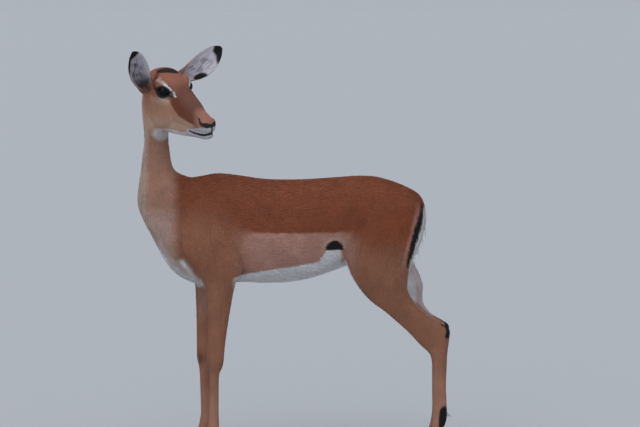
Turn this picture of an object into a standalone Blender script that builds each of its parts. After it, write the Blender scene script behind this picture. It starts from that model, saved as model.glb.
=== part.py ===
"""Impala ewe, life size, standing square with her head turned back over her left shoulder.

Metres, +Z up. She faces -X and her left side faces -Y. The floor is z = 0, and the origin is under the
middle of her box. Each form is a loft through stations that give its outline; the lofts are fused into two
clays, one for the body and one for the finer head, and the clays are parted into named nodes by thin cuts.
"""

import math

import bmesh
import bpy
import numpy as np
from mathutils import Matrix, Vector

# ---------------------------------------------------------------- driving dimensions
GAP = 0.0004  # between neighbouring nodes
BODY_VOXEL = 0.0055
HEAD_VOXEL = 0.0032
BODY_FACES = 3100
HEAD_FACES = 1400
RING_SIDES = 24
RING_STEPS = 5

LEFT, RIGHT = -1, 1  # the sign of Y on each side of her

# How each foot stands apart from the plain stance, along X.
FORE_STANCE = {LEFT: 0.0, RIGHT: -0.020}
HIND_STANCE = {LEFT: 0.0, RIGHT: 0.010}
HIND_UPRIGHT = {LEFT: 0.0, RIGHT: 0.050}  # how far back a straighter leg holds its thigh's end

# The head's own frame: origin midway between the eyes, +X to the nose, +Y to her left, +Z up,
# with the lower edge of the jaw along X.
HEAD_PLACE = Vector((-0.3185, -0.090, 1.0105))
HEAD_TURN = math.radians(-50)  # about Z, from +X
HEAD_PITCH = math.radians(3)  # nose down
HEAD_ROLL = math.radians(9)  # right side down

EYE_RADIUS = 0.0195
EYE_PLACE = Vector((0.000, 0.0388, 0.006))  # the left one, in the head's frame
EYE_LOOKS = math.radians(32)  # forward of straight out
BROW_TURN = math.radians(24)  # how far the brows' front ends come together
EYE_WINDOW = Vector((0.0245, 0.0130, 0.0165))  # half sizes of the opening between the lids

# The ears are swivelled apart, so each has its own root, in the head's frame, and its own aim.
EAR_ROOT = {LEFT: Vector((-0.056, 0.048, 0.014)), RIGHT: Vector((-0.059, -0.0355, -0.009))}
EAR_AIM = {LEFT: Vector((0.793, 0.230, 0.563)), RIGHT: Vector((-0.298, -0.640, 0.727))}
EAR_OPENS = {LEFT: Vector((0.27, -0.95, -0.07)), RIGHT: Vector((0.62, -0.66, -0.30))}
EAR_LENGTH = 0.166
EAR_START = 0.11  # share of the length where the ear leaves its root
EAR_SKIN = 0.0042
EAR_BULGE = {LEFT: 0.010, RIGHT: 0.005}  # how far its middle bows outward
EAR_GATHER = 0.010  # how far the rolled base is drawn in towards the ear's root

# Height of the cuts that part the nodes, and of the coronets at the front and back of a hoof.
ELBOW_CUT = 0.462
KNEE_CUT = 0.222
NECK_TOP = 0.860
THIGH_CUT = 0.488
HOCK_CUT = 0.236
TOE_HEIGHT = 0.032
HEEL_HEIGHT = 0.017
CLAW_LENGTH = 0.050
CLAW_SIDES = 10
CLAW_SPREAD = 0.0095  # from the middle of the foot to the middle of each claw

COAT_COLOUR = (0.42, 0.19, 0.09)
PALE_COLOUR = (0.62, 0.50, 0.42)
EYE_COLOUR = (0.012, 0.008, 0.007)
HOOF_COLOUR = (0.030, 0.026, 0.024)


# ---------------------------------------------------------------- lofts
def interpolated(rows, steps=RING_STEPS):
    """Catmull-Rom through the rows of a table, each column on its own."""
    rows = np.asarray(rows, float)
    padded = np.vstack([2 * rows[0] - rows[1], rows, 2 * rows[-1] - rows[-2]])
    out = []
    for i in range(1, len(padded) - 2):
        p0, p1, p2, p3 = padded[i - 1 : i + 3]
        for k in range(steps):
            t = k / steps
            out.append(
                0.5
                * (
                    2 * p1
                    + (p2 - p0) * t
                    + (2 * p0 - 5 * p1 + 4 * p2 - p3) * t**2
                    + (3 * p1 - p0 - 3 * p2 + p3) * t**3
                )
            )
    out.append(rows[-1])
    return np.array(out)


def ring(front, back, side, half, widest, power, count):
    """Points round a superellipse from its front and back points, its side axis and its half width."""
    centre = back + (front - back) * widest
    angle = np.arange(count) * 2 * math.pi / count
    across = np.sign(np.cos(angle)) * np.abs(np.cos(angle)) ** (2 / power)
    along = np.sign(np.sin(angle)) * np.abs(np.sin(angle)) ** (2 / power)
    reach = np.where(along[:, None] > 0, front - centre, centre - back)
    return centre + np.outer(across * half, side) + along[:, None] * reach


def loft(bm, stations, side=None, power=2.0, steps=RING_STEPS, count=RING_SIDES):
    """Adds a closed tube to bm. A station is (front xyz, back xyz, half width, widest from back to front)."""
    table = interpolated([[*f, *b, half, widest] for f, b, half, widest in stations], steps)
    rings = []
    for row in table:
        front, back = row[:3], row[3:6]
        if side is None:
            axis = np.cross((0, 0, 1), front - back)
            axis = axis / np.linalg.norm(axis)
        else:
            axis = np.asarray(side, float)
        rings.append([bm.verts.new(p) for p in ring(front, back, axis, row[6], row[7], power, count)])
    walls(bm, rings)
    bm.faces.new(rings[0][::-1])
    bm.faces.new(rings[-1])


def walls(bm, rings):
    """Joins each ring of vertices to the next with quads."""
    count = len(rings[0])
    for lower, upper in zip(rings, rings[1:]):
        for k in range(count):
            n = (k + 1) % count
            bm.faces.new((lower[k], lower[n], upper[n], upper[k]))


def ellipsoid(bm, centre, radii, turn=0.0, tilt=0.0):
    """Adds an ellipsoid, turned about Z and then tilted about Y."""
    place = (
        Matrix.Translation(centre)
        @ Matrix.Rotation(turn, 4, "Z")
        @ Matrix.Rotation(tilt, 4, "Y")
        @ Matrix.Diagonal((*radii, 1))
    )
    bmesh.ops.create_icosphere(bm, subdivisions=3, radius=1.0, matrix=place)


# ---------------------------------------------------------------- body forms
def trunk(bm):
    """Barrel, chest and rump. Columns: x, top z, bottom z, half width, height of the widest line."""
    outline = (
        (0.372, 0.698, 0.610, 0.022, 0.50),
        (0.358, 0.722, 0.580, 0.046, 0.50),
        (0.330, 0.740, 0.560, 0.066, 0.50),
        (0.290, 0.757, 0.552, 0.083, 0.50),
        (0.240, 0.771, 0.545, 0.094, 0.52),
        (0.190, 0.774, 0.534, 0.099, 0.50),
        (0.140, 0.771, 0.516, 0.105, 0.48),
        (0.080, 0.767, 0.495, 0.113, 0.46),
        (0.010, 0.764, 0.479, 0.118, 0.45),
        (-0.070, 0.766, 0.4755, 0.117, 0.45),
        (-0.140, 0.776, 0.478, 0.109, 0.45),
        (-0.200, 0.782, 0.474, 0.098, 0.44),
        (-0.250, 0.774, 0.473, 0.090, 0.44),
        (-0.300, 0.766, 0.490, 0.082, 0.44),
        (-0.340, 0.758, 0.527, 0.072, 0.45),
        (-0.375, 0.745, 0.590, 0.060, 0.46),
        (-0.402, 0.730, 0.645, 0.044, 0.48),
        (-0.416, 0.712, 0.680, 0.020, 0.50),
    )
    loft(bm, [((x, 0, top), (x, 0, low), half, wide) for x, top, low, half, wide in outline], side=(0, 1, 0), power=2.1)


def neck_stations():
    """Throat point, nape point and half width, from the withers up; the throat turns to her left."""
    return (
        ((-0.395, 0.000, 0.625), (-0.190, 0.000, 0.762), 0.074, 0.5),
        ((-0.422, 0.000, 0.690), (-0.262, 0.000, 0.768), 0.066, 0.5),
        ((-0.420, -0.002, 0.745), (-0.313, 0.002, 0.786), 0.053, 0.5),
        ((-0.411, -0.014, 0.792), (-0.330, 0.014, 0.815), 0.041, 0.5),
        ((-0.401, -0.028, 0.845), (-0.338, 0.018, 0.850), 0.033, 0.5),
        ((-0.379, -0.053, 0.895), (-0.360, 0.021, 0.900), 0.034, 0.5),
        ((-0.358, -0.062, 0.945), (-0.387, 0.010, 0.955), 0.035, 0.5),
        ((-0.352, -0.066, 0.985), (-0.392, -0.006, 1.000), 0.034, 0.5),
        ((-0.356, -0.064, 1.005), (-0.380, -0.024, 1.024), 0.024, 0.5),
    )


def foreleg(bm, side):
    """Shoulder, forearm, knee, cannon and pastern. Columns: z, front x, back x, half width, y."""
    outline = (
        (0.745, -0.232, -0.168, 0.010, 0.046),
        (0.700, -0.270, -0.150, 0.022, 0.062),
        (0.640, -0.305, -0.135, 0.031, 0.072),
        (0.580, -0.305, -0.124, 0.035, 0.078),
        (0.530, -0.276, -0.126, 0.035, 0.080),
        (0.480, -0.2435, -0.152, 0.031, 0.077),
        (0.407, -0.2320, -0.167, 0.0250, 0.073),
        (0.333, -0.2310, -0.1790, 0.0205, 0.070),
        (0.290, -0.2322, -0.1840, 0.0200, 0.068),
        (0.265, -0.2328, -0.1860, 0.0205, 0.067),
        (0.245, -0.2300, -0.1910, 0.0180, 0.066),
        (0.225, -0.2272, -0.1985, 0.0140, 0.066),
        (0.160, -0.2272, -0.1995, 0.0120, 0.065),
        (0.110, -0.2280, -0.1995, 0.0125, 0.065),
        (0.086, -0.2310, -0.1985, 0.0165, 0.065),
        (0.065, -0.2360, -0.2050, 0.0160, 0.065),
        (0.046, -0.2460, -0.2150, 0.0160, 0.065),
        (0.024, -0.2560, -0.2230, 0.0170, 0.065),
    )
    stance = FORE_STANCE[side]
    stations = []
    for z, front, back, half, y in outline:
        shift = stance * min(1.0, max(0.0, (0.60 - z) / 0.15))
        stations.append(((front + shift, side * y, z), (back + shift, side * y, z), half, 0.5))
    loft(bm, stations, side=(0, 1, 0))


def hind_shift(z, side):
    """How far back one hind leg stands at height z: its step, and how straight it holds its stifle."""
    straighter = HIND_UPRIGHT[side] * math.exp(-(((z - 0.468) / 0.055) ** 2))
    return HIND_STANCE[side] * min(1.0, max(0.0, (0.62 - z) / 0.33)) + straighter


def hindleg(bm, side):
    """Thigh, gaskin, hock, cannon and pastern. Columns: front x, z, back x, z, half width, y."""
    outline = (
        (0.190, 0.745, 0.320, 0.725, 0.028, 0.046),
        (0.150, 0.690, 0.358, 0.690, 0.044, 0.053),
        (0.140, 0.625, 0.368, 0.645, 0.049, 0.057),
        (0.145, 0.562, 0.354, 0.585, 0.047, 0.062),
        (0.163, 0.503, 0.334, 0.533, 0.042, 0.068),
        (0.193, 0.457, 0.3235, 0.495, 0.036, 0.073),
        (0.223, 0.426, 0.3235, 0.461, 0.030, 0.075),
        (0.256, 0.402, 0.3365, 0.434, 0.0255, 0.074),
        (0.290, 0.373, 0.3570, 0.409, 0.0220, 0.071),
        (0.324, 0.342, 0.3860, 0.384, 0.0195, 0.067),
        (0.357, 0.307, 0.4165, 0.364, 0.0185, 0.063),
        (0.383, 0.282, 0.4345, 0.349, 0.0190, 0.060),
        (0.389, 0.262, 0.4350, 0.327, 0.0195, 0.060),
        (0.3905, 0.243, 0.4300, 0.285, 0.0180, 0.060),
        (0.3905, 0.225, 0.4285, 0.243, 0.0145, 0.060),
        (0.3905, 0.165, 0.4275, 0.168, 0.0120, 0.060),
        (0.3910, 0.115, 0.4385, 0.116, 0.0135, 0.060),
        (0.3880, 0.086, 0.4330, 0.084, 0.0165, 0.060),
        (0.3830, 0.065, 0.4150, 0.065, 0.0160, 0.060),
        (0.3735, 0.046, 0.4050, 0.046, 0.0160, 0.060),
        (0.3635, 0.024, 0.3970, 0.024, 0.0170, 0.060),
    )
    stations = []
    for fx, fz, bx, bz, half, y in outline:
        front = (fx + hind_shift(fz, side), side * y, fz)
        back = (bx + hind_shift(bz, side), side * y, bz)
        stations.append((front, back, half, 0.5))
    loft(bm, stations, side=(0, 1, 0))


# ---------------------------------------------------------------- head forms, in the head's own frame
def skull(bm):
    """Cranium, face and upper jaw. Columns: x, top z, bottom z, half width, widest line."""
    outline = (
        (-0.100, 0.026, -0.040, 0.020, 0.50),
        (-0.088, 0.046, -0.066, 0.032, 0.55),
        (-0.070, 0.058, -0.084, 0.044, 0.60),
        (-0.048, 0.062, -0.096, 0.0510, 0.64),
        (-0.022, 0.057, -0.102, 0.0505, 0.68),
        (0.004, 0.040, -0.106, 0.0460, 0.74),
        (0.028, 0.020, -0.107, 0.0375, 0.72),
        (0.055, -0.0015, -0.108, 0.0310, 0.66),
        (0.082, -0.0225, -0.108, 0.0275, 0.58),
        (0.104, -0.0435, -0.108, 0.0220, 0.50),
        (0.119, -0.0560, -0.108, 0.0222, 0.50),
        (0.1315, -0.0655, -0.107, 0.0215, 0.55),
        (0.1395, -0.0765, -0.103, 0.0160, 0.55),
        (0.1435, -0.0860, -0.098, 0.0080, 0.50),
    )
    loft(bm, [((x, 0, top), (x, 0, low), half, wide) for x, top, low, half, wide in outline], side=(0, 1, 0), power=2.5)
    ellipsoid(bm, (-0.080, 0, -0.008), (0.032, 0.030, 0.047))


def jaw(bm):
    """Lower jaw and chin. Columns: x, top z, bottom z, half width."""
    outline = (
        (-0.066, -0.060, -0.092, 0.020),
        (-0.045, -0.050, -0.1110, 0.034),
        (-0.010, -0.050, -0.1180, 0.0365),
        (0.030, -0.060, -0.1215, 0.0315),
        (0.060, -0.072, -0.1220, 0.0260),
        (0.085, -0.086, -0.1230, 0.0205),
        (0.100, -0.096, -0.1245, 0.0180),
        (0.118, -0.100, -0.1255, 0.0170),
        (0.131, -0.102, -0.1225, 0.0140),
        (0.137, -0.105, -0.1160, 0.0075),
    )
    loft(bm, [((x, 0, top), (x, 0, low), half, 0.5) for x, top, low, half in outline], side=(0, 1, 0), power=2.2)


def face_forms(bm, side):
    """Cheek, eye socket, brow and nostril wing of one side."""
    side = -side  # +Y is her left here
    ellipsoid(bm, (-0.032, side * 0.025, -0.052), (0.060, 0.0255, 0.050), tilt=math.radians(20))
    ellipsoid(bm, (0.003, side * 0.0420, 0.002), (0.033, 0.0195, 0.0255))
    brow = (0.010, side * 0.0400, 0.0195)
    ellipsoid(bm, brow, (0.036, 0.0130, 0.013), turn=-side * BROW_TURN, tilt=math.radians(30))
    ellipsoid(bm, (0.1255, side * 0.0125, -0.0805), (0.0170, 0.0125, 0.0145), tilt=math.radians(35))


def head_matrix():
    return (
        Matrix.Translation(HEAD_PLACE)
        @ Matrix.Rotation(HEAD_TURN, 4, "Z")
        @ Matrix.Rotation(HEAD_PITCH, 4, "Y")
        @ Matrix.Rotation(HEAD_ROLL, 4, "X")
    )


# ---------------------------------------------------------------- clay
def new_object(name, mesh):
    obj = bpy.data.objects.new(name, mesh)
    bpy.context.scene.collection.objects.link(obj)
    return obj


def shaped(name, bm):
    """Turns bm into an object whose faces point out."""
    mesh = bpy.data.meshes.new(name)
    bmesh.ops.recalc_face_normals(bm, faces=bm.faces)
    bm.to_mesh(mesh)
    bm.free()
    return new_object(name, mesh)


def evaluated(obj):
    """Replaces obj by its mesh with the modifiers applied."""
    graph = bpy.context.evaluated_depsgraph_get()
    mesh = bpy.data.meshes.new_from_object(obj.evaluated_get(graph))
    bpy.data.objects.remove(obj)
    return mesh


def relaxed(mesh, rounds, weight):
    """Smooths the creases where forms meet without shrinking thin limbs (Taubin's two-step)."""
    count = len(mesh.vertices)
    points = np.empty(count * 3)
    mesh.vertices.foreach_get("co", points)
    points = points.reshape(-1, 3)
    edges = np.empty(len(mesh.edges) * 2, int)
    mesh.edges.foreach_get("vertices", edges)
    a, b = edges.reshape(-1, 2).T
    valence = np.bincount(np.r_[a, b], minlength=count)[:, None]
    share = weight(points)[:, None]
    for step in [0.5, -0.52] * rounds:
        near = np.empty_like(points)
        for k in range(3):
            near[:, k] = np.bincount(a, points[b, k], count) + np.bincount(b, points[a, k], count)
        points += step * share * (near / valence - points)
    mesh.vertices.foreach_set("co", points.ravel())
    mesh.update()


def fused(name, bm, voxel, rounds, weight, faces):
    """One closed skin round all the forms in bm, smoothed and thinned to about that many triangles."""
    obj = shaped(name, bm)
    remesh = obj.modifiers.new("fuse", "REMESH")
    remesh.mode = "VOXEL"
    remesh.voxel_size = voxel
    mesh = evaluated(obj)
    relaxed(mesh, rounds, weight)
    obj = new_object(name, mesh)
    thin = obj.modifiers.new("thin", "DECIMATE")
    thin.ratio = faces / (2 * len(mesh.polygons))
    return new_object(name, evaluated(obj))


def body_weight(points):
    """Full smoothing where limbs join the trunk, and little on the lower legs."""
    return np.clip((points[:, 2] - 0.30) / 0.15, 0.25, 1.0)


def body_clay():
    bm = bmesh.new()
    trunk(bm)
    loft(bm, neck_stations())
    for side in (LEFT, RIGHT):
        foreleg(bm, side)
        hindleg(bm, side)
    return fused("body_clay", bm, BODY_VOXEL, 14, body_weight, BODY_FACES)


def head_clay():
    bm = bmesh.new()
    skull(bm)
    jaw(bm)
    for side in (LEFT, RIGHT):
        face_forms(bm, side)
    bm.transform(head_matrix())
    for side in (LEFT, RIGHT):
        ear_root(bm, side)
    loft(bm, neck_stations()[3:])
    return fused("head_clay", bm, HEAD_VOXEL, 10, lambda points: np.ones(len(points)), HEAD_FACES)


# ---------------------------------------------------------------- small pieces
def tail(grow=0.0):
    """Hangs down the cleft of the rump. Columns: z, front x, back x, half width."""
    outline = (
        (0.715, 0.350, 0.366, 0.010),
        (0.690, 0.350, 0.3775, 0.014),
        (0.650, 0.348, 0.3820, 0.017),
        (0.610, 0.338, 0.3750, 0.018),
        (0.570, 0.327, 0.3620, 0.0175),
        (0.538, 0.318, 0.3490, 0.013),
        (0.518, 0.315, 0.3360, 0.006),
    )
    middle = (outline[0][0] + outline[-1][0]) / 2
    stations = []
    for z, front, back, half in outline:
        z += grow * (z - middle) / (outline[0][0] - middle)
        stations.append(((front - grow, 0, z), (back + grow, 0, z), half + grow, 0.5))
    bm = bmesh.new()
    loft(bm, stations, side=(0, 1, 0), steps=2, count=14)
    return shaped("tail", bm)


def ear_frame(side):
    """Root, aim, the way the cup opens, and the way across it to its outer edge."""
    root = head_matrix() @ EAR_ROOT[side]
    aim = EAR_AIM[side].normalized()
    opens = (EAR_OPENS[side] - aim * EAR_OPENS[side].dot(aim)).normalized()
    return root, aim, opens, aim.cross(opens) * -side


def ear(side, grow=0.0, rows=11, columns=9):
    """An open leaf-shaped cup, with its own thickness, rolled almost shut at its root."""
    root, aim, opens, outward = ear_frame(side)
    # Columns: share of the length, half width, half angle of the cup in degrees.
    shape = interpolated(
        (
            (0.00, 0.0145, 168.0),
            (0.12, 0.0155, 160.0),
            (0.25, 0.0195, 126.0),
            (0.38, 0.0262, 96.0),
            (0.52, 0.0322, 72.0),
            (0.66, 0.0330, 56.0),
            (0.80, 0.0282, 46.0),
            (0.92, 0.0178, 40.0),
            (1.00, 0.0045, 36.0),
        )
    )
    bm = bmesh.new()
    rings = []
    start = EAR_START - 2 * grow / EAR_LENGTH
    for share in start + (1.0 - start) * np.linspace(0.0, 1.0, rows) ** 0.9:
        half = np.interp(share, shape[:, 0], shape[:, 1])
        bend = math.radians(np.interp(share, shape[:, 0], shape[:, 2]))
        radius = half / math.sin(min(bend, math.pi / 2))
        skin = EAR_SKIN * (1.0 - 0.45 * share) + 2 * grow
        bow = EAR_BULGE[side] * math.sin(math.pi * share)
        drawn = radius * math.cos(bend) + EAR_GATHER * (1 - share) ** 3
        axis = root + aim * EAR_LENGTH * share + outward * bow + opens * drawn
        rim = bend + grow / radius
        verts = []
        for shell, first in ((0.5, -rim), (-0.5, rim)):
            reach = radius + shell * skin
            for turn in np.linspace(first, -first, columns):
                verts.append(bm.verts.new(axis + outward * reach * math.sin(turn) - opens * reach * math.cos(turn)))
        rings.append(verts)
    walls(bm, rings)
    for end in (rings[0], rings[-1]):
        for k in range(columns - 1):
            bm.faces.new((end[k], end[k + 1], end[-2 - k], end[-1 - k]))
    return shaped("ear_" + side_name(side), bm)


def ear_root(bm, side):
    """The stump under the ear, from inside the head to beyond where the ear begins."""
    root, aim, opens, outward = ear_frame(side)
    stations = []
    rows = (  # place along the ear, half width, how far behind the ear's axis
        (-0.035, 0.0060, 0.002),
        (-0.018, 0.0095, 0.003),
        (0.000, 0.0130, 0.005),
        (0.014, 0.0172, 0.007),
        (0.028, 0.0178, 0.008),
    )
    for reach, half, behind in rows:
        middle = root + aim * reach - opens * behind + outward * 0.002
        stations.append((middle + opens * half, middle - opens * half, half, 0.5))
    loft(bm, stations, side=outward)


def eyeball(side, grow=0.0):
    bm = bmesh.new()
    bmesh.ops.create_icosphere(bm, subdivisions=3, radius=EYE_RADIUS + grow)
    obj = shaped("eye_" + side_name(side), bm)
    obj.location = head_matrix() @ Vector((EYE_PLACE.x, -side * EYE_PLACE.y, EYE_PLACE.z))
    return obj


def eye_window(side):
    """A cutter for the almond opening between the lids."""
    ahead, out = math.sin(EYE_LOOKS), math.cos(EYE_LOOKS)
    reach = EYE_RADIUS + 0.001
    place = (EYE_PLACE.x + ahead * reach, -side * (EYE_PLACE.y + out * reach), EYE_PLACE.z)
    bm = bmesh.new()
    ellipsoid(bm, place, EYE_WINDOW, turn=side * EYE_LOOKS, tilt=math.radians(14))
    bm.transform(head_matrix())
    return shaped("window", bm)


def claw(name, place, inner):
    """Half of a cloven hoof, flat underneath; inner is the sign of Y towards the cleft."""
    bm = bmesh.new()
    rings = []
    # Columns: height, length, half width, how far the middle lies behind the sole's.
    for height, length, half, behind in (
        (0.000, CLAW_LENGTH, 0.0088, 0.000),
        (0.004, CLAW_LENGTH * 0.99, 0.0092, 0.000),
        (0.018, CLAW_LENGTH * 0.84, 0.0088, 0.004),
        (0.040, CLAW_LENGTH * 0.62, 0.0078, 0.010),
    ):
        verts = []
        for k in range(CLAW_SIDES):
            turn = k * 2 * math.pi / CLAW_SIDES
            toe = max(0.0, math.cos(turn)) ** 2
            across = math.sin(turn) * half * (1.0 - 0.45 * toe)
            if across * inner > 0:
                across *= 0.75
            verts.append(bm.verts.new((place.x + behind - math.cos(turn) * length / 2, place.y + across, height)))
        rings.append(verts)
    walls(bm, rings)
    bm.faces.new(rings[0])
    bm.faces.new(rings[-1])
    return shaped(name, bm)


# ---------------------------------------------------------------- parting
def side_name(side):
    return "left" if side == LEFT else "right"


def box(centre, size, pitch=0.0):
    """A cutter: a box pitched about Y."""
    bm = bmesh.new()
    bmesh.ops.create_cube(bm, size=1.0)
    bmesh.ops.scale(bm, vec=size, verts=bm.verts)
    obj = shaped("box", bm)
    obj.location = centre
    obj.rotation_euler.y = pitch
    return obj


def carved(obj, cutter):
    """Obj without the cutter's space. The cutter is used up."""
    cut = obj.modifiers.new("cut", "BOOLEAN")
    cut.operation = "DIFFERENCE"
    cut.solver = "EXACT"
    cut.object = cutter
    bpy.context.view_layer.update()
    name = obj.name
    mesh = evaluated(obj)
    bpy.data.objects.remove(cutter)
    return new_object(name, mesh)


def separated(obj):
    """The separate bodies of obj, as (mesh, middle) pairs."""
    whole = bmesh.new()
    whole.from_mesh(obj.data)
    bpy.data.objects.remove(obj)
    whole.verts.index_update()
    unseen = set(whole.verts)
    pieces = []
    while unseen:
        front = [unseen.pop()]
        body = set(front)
        while front:
            vert = front.pop()
            near = [edge.other_vert(vert) for edge in vert.link_edges]
            fresh = [other for other in near if other not in body]
            body.update(fresh)
            front.extend(fresh)
        unseen -= body
        keep = {vert.index for vert in body}
        piece = whole.copy()
        bmesh.ops.delete(piece, geom=[vert for vert in piece.verts if vert.index not in keep], context="VERTS")
        mesh = bpy.data.meshes.new("piece")
        piece.to_mesh(mesh)
        piece.free()
        points = np.array([vert.co for vert in mesh.vertices])
        pieces.append((mesh, (points.min(0) + points.max(0)) / 2))
    whole.free()
    return pieces


def name_of_body_piece(middle):
    """Which node a piece of the body is, from where its middle lies."""
    x, y, z = middle
    if z > 0.70:
        return "neck"
    if abs(y) < 0.03:
        return "trunk"
    leg = "foreleg" if x < 0 else "hindleg"
    level = "upper" if z > 0.25 else "lower"
    return f"{leg}_{level}_{side_name(LEFT if y < 0 else RIGHT)}"


def feet():
    """Middle of each foot on the floor, by leg and side."""
    out = {}
    for side in (LEFT, RIGHT):
        out["fore", side] = Vector((-0.243 + FORE_STANCE[side], side * 0.065, 0))
        out["hind", side] = Vector((0.3765 + HIND_STANCE[side], side * 0.060, 0))
    return out


def coronet_cutter(foot, above):
    """A thick slab over or under the slanting line where hoof and hair meet."""
    slope = math.atan2(TOE_HEIGHT - HEEL_HEIGHT, 0.034)
    normal = Vector((math.sin(slope), 0, math.cos(slope)))
    middle = foot + Vector((0, 0, (TOE_HEIGHT + HEEL_HEIGHT) / 2))
    thick = 0.10
    reach = thick / 2 if above else GAP - thick / 2
    return box(middle + normal * reach, (0.09, 0.07, thick), slope)


def body_nodes():
    clay = body_clay()
    throat, nape = Vector((-0.420, 0, 0.700)), Vector((-0.275, 0, 0.792))
    slant = math.atan2(nape.z - throat.z, nape.x - throat.x)
    cutters = [
        box((throat + nape) / 2, (0.23, 0.30, GAP), -slant),
        box((-0.37, 0, NECK_TOP + 0.1), (0.3, 0.4, 0.2)),
        box((-0.23, 0, ELBOW_CUT), (0.26, 0.4, GAP)),
        box((-0.23, 0, KNEE_CUT), (0.26, 0.4, GAP)),
        box((0.30, 0, THIGH_CUT), (0.31, 0.4, GAP)),
        box((0.41, 0, HOCK_CUT), (0.20, 0.4, GAP)),
        tail(grow=GAP),
    ]
    cutters += [coronet_cutter(foot, above=False) for foot in feet().values()]
    for cutter in cutters:
        clay = carved(clay, cutter)
    return [new_object(name_of_body_piece(middle), mesh) for mesh, middle in separated(clay)]


def ear_cutter(side):
    """Takes the end off the ear's stump, square to the ear."""
    root, aim, opens, _ = ear_frame(side)
    middle = root + aim * (EAR_LENGTH * EAR_START + 0.02 - GAP) - opens * 0.007
    cutter = box(middle, (0.046, 0.046, 0.04))
    cutter.rotation_mode = "QUATERNION"
    cutter.rotation_quaternion = aim.to_track_quat("Z", "Y")
    return cutter


def head_nodes():
    clay = carved(head_clay(), box((-0.37, 0, NECK_TOP - 0.2 + GAP), (0.5, 0.5, 0.4)))
    out = []
    for side in (LEFT, RIGHT):
        for cutter in (eye_window(side), eyeball(side, grow=GAP), ear_cutter(side), ear(side, grow=2 * GAP)):
            clay = carved(clay, cutter)
        out += [eyeball(side), ear(side)]
    clay.name = "head"
    return out + [clay]


def hoof_nodes():
    out = []
    for (leg, side), foot in feet().items():
        for inner, which in ((-side, "outer"), (side, "inner")):
            name = f"hoof_{leg}_{which}_{side_name(side)}"
            obj = claw(name, foot - Vector((0.001, inner * CLAW_SPREAD, 0)), inner)
            out.append(carved(obj, coronet_cutter(foot, above=True)))
    return out


# ---------------------------------------------------------------- finish
def painted(obj, name, colour, roughness):
    mat = bpy.data.materials.get(name) or bpy.data.materials.new(name)
    mat.use_nodes = True
    shader = mat.node_tree.nodes["Principled BSDF"]
    shader.inputs["Base Color"].default_value = (*colour, 1)
    shader.inputs["Roughness"].default_value = roughness
    obj.data.materials.clear()
    obj.data.materials.append(mat)
    obj.data.shade_smooth()
    obj.data.set_sharp_from_angle(angle=math.radians(40))


def centred(nodes):
    """Moves all nodes together so that the middle of their box stands over the origin."""
    bpy.context.view_layer.update()
    points = np.array([obj.matrix_world @ vert.co for obj in nodes for vert in obj.data.vertices])
    middle = (points.min(0) + points.max(0)) / 2
    for obj in nodes:
        obj.location -= Vector((middle[0], middle[1], 0))


def main():
    for obj in list(bpy.data.objects):
        bpy.data.objects.remove(obj)
    nodes = body_nodes() + head_nodes() + hoof_nodes() + [tail()]
    centred(nodes)
    for obj in nodes:
        if obj.name.startswith("eye"):
            painted(obj, "eye", EYE_COLOUR, 0.08)
        elif obj.name.startswith("hoof"):
            painted(obj, "hoof", HOOF_COLOUR, 0.45)
        elif obj.name.startswith("ear"):
            painted(obj, "ear", PALE_COLOUR, 0.85)
        else:
            painted(obj, "coat", COAT_COLOUR, 0.8)


if __name__ == "__main__":
    main()
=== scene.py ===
# %% [markdown]
# # An impala ewe, life size
# This lesson dresses a faceted model of an impala: one skin, eyes, hooves and a coat of short fur.
# The faceted model arrives as a fixed frame. It says where everything is, and nothing here moves it.

# %% Load the frame
import math

import bmesh
import bpy
import numpy as np
from mathutils import Matrix, Vector
from mathutils.bvhtree import BVHTree


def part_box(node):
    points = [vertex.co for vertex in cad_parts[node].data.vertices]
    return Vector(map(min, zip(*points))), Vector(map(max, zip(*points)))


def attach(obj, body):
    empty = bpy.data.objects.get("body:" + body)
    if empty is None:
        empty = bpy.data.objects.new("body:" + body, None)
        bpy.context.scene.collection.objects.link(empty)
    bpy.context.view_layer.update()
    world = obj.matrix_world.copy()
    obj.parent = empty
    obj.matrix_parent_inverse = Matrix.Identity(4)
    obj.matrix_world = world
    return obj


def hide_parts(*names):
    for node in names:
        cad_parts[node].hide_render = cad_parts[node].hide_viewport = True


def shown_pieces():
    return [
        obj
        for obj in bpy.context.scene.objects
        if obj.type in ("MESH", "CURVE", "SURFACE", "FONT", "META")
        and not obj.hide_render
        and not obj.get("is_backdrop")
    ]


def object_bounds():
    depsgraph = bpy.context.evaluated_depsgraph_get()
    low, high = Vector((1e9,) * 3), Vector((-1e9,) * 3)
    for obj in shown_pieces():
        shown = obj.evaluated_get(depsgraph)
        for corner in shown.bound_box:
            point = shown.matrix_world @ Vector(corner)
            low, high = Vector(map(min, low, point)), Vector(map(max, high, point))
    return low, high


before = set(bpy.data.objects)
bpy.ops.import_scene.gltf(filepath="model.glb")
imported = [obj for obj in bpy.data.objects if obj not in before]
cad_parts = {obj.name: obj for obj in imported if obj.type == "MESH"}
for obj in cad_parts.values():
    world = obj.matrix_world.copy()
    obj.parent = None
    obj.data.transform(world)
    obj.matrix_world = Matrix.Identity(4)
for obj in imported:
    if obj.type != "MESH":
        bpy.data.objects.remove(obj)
cad_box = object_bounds()
print("frame nodes:", len(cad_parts))

# %% [markdown]
# ## Where the head and the eyes are
# The head is modelled in a frame of its own: its origin lies midway between the eyes, +X points to the
# nose, +Y to her left and +Z up. A matrix takes it to where she holds it, turned back over her shoulder.
# She is modelled with her nose towards -X, and the finished frame is moved a little, to stand her box
# over the origin. The frame's left eye tells how far, so the whole lesson works in her own
# coordinates and moves the finished pieces once, at the end.

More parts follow.
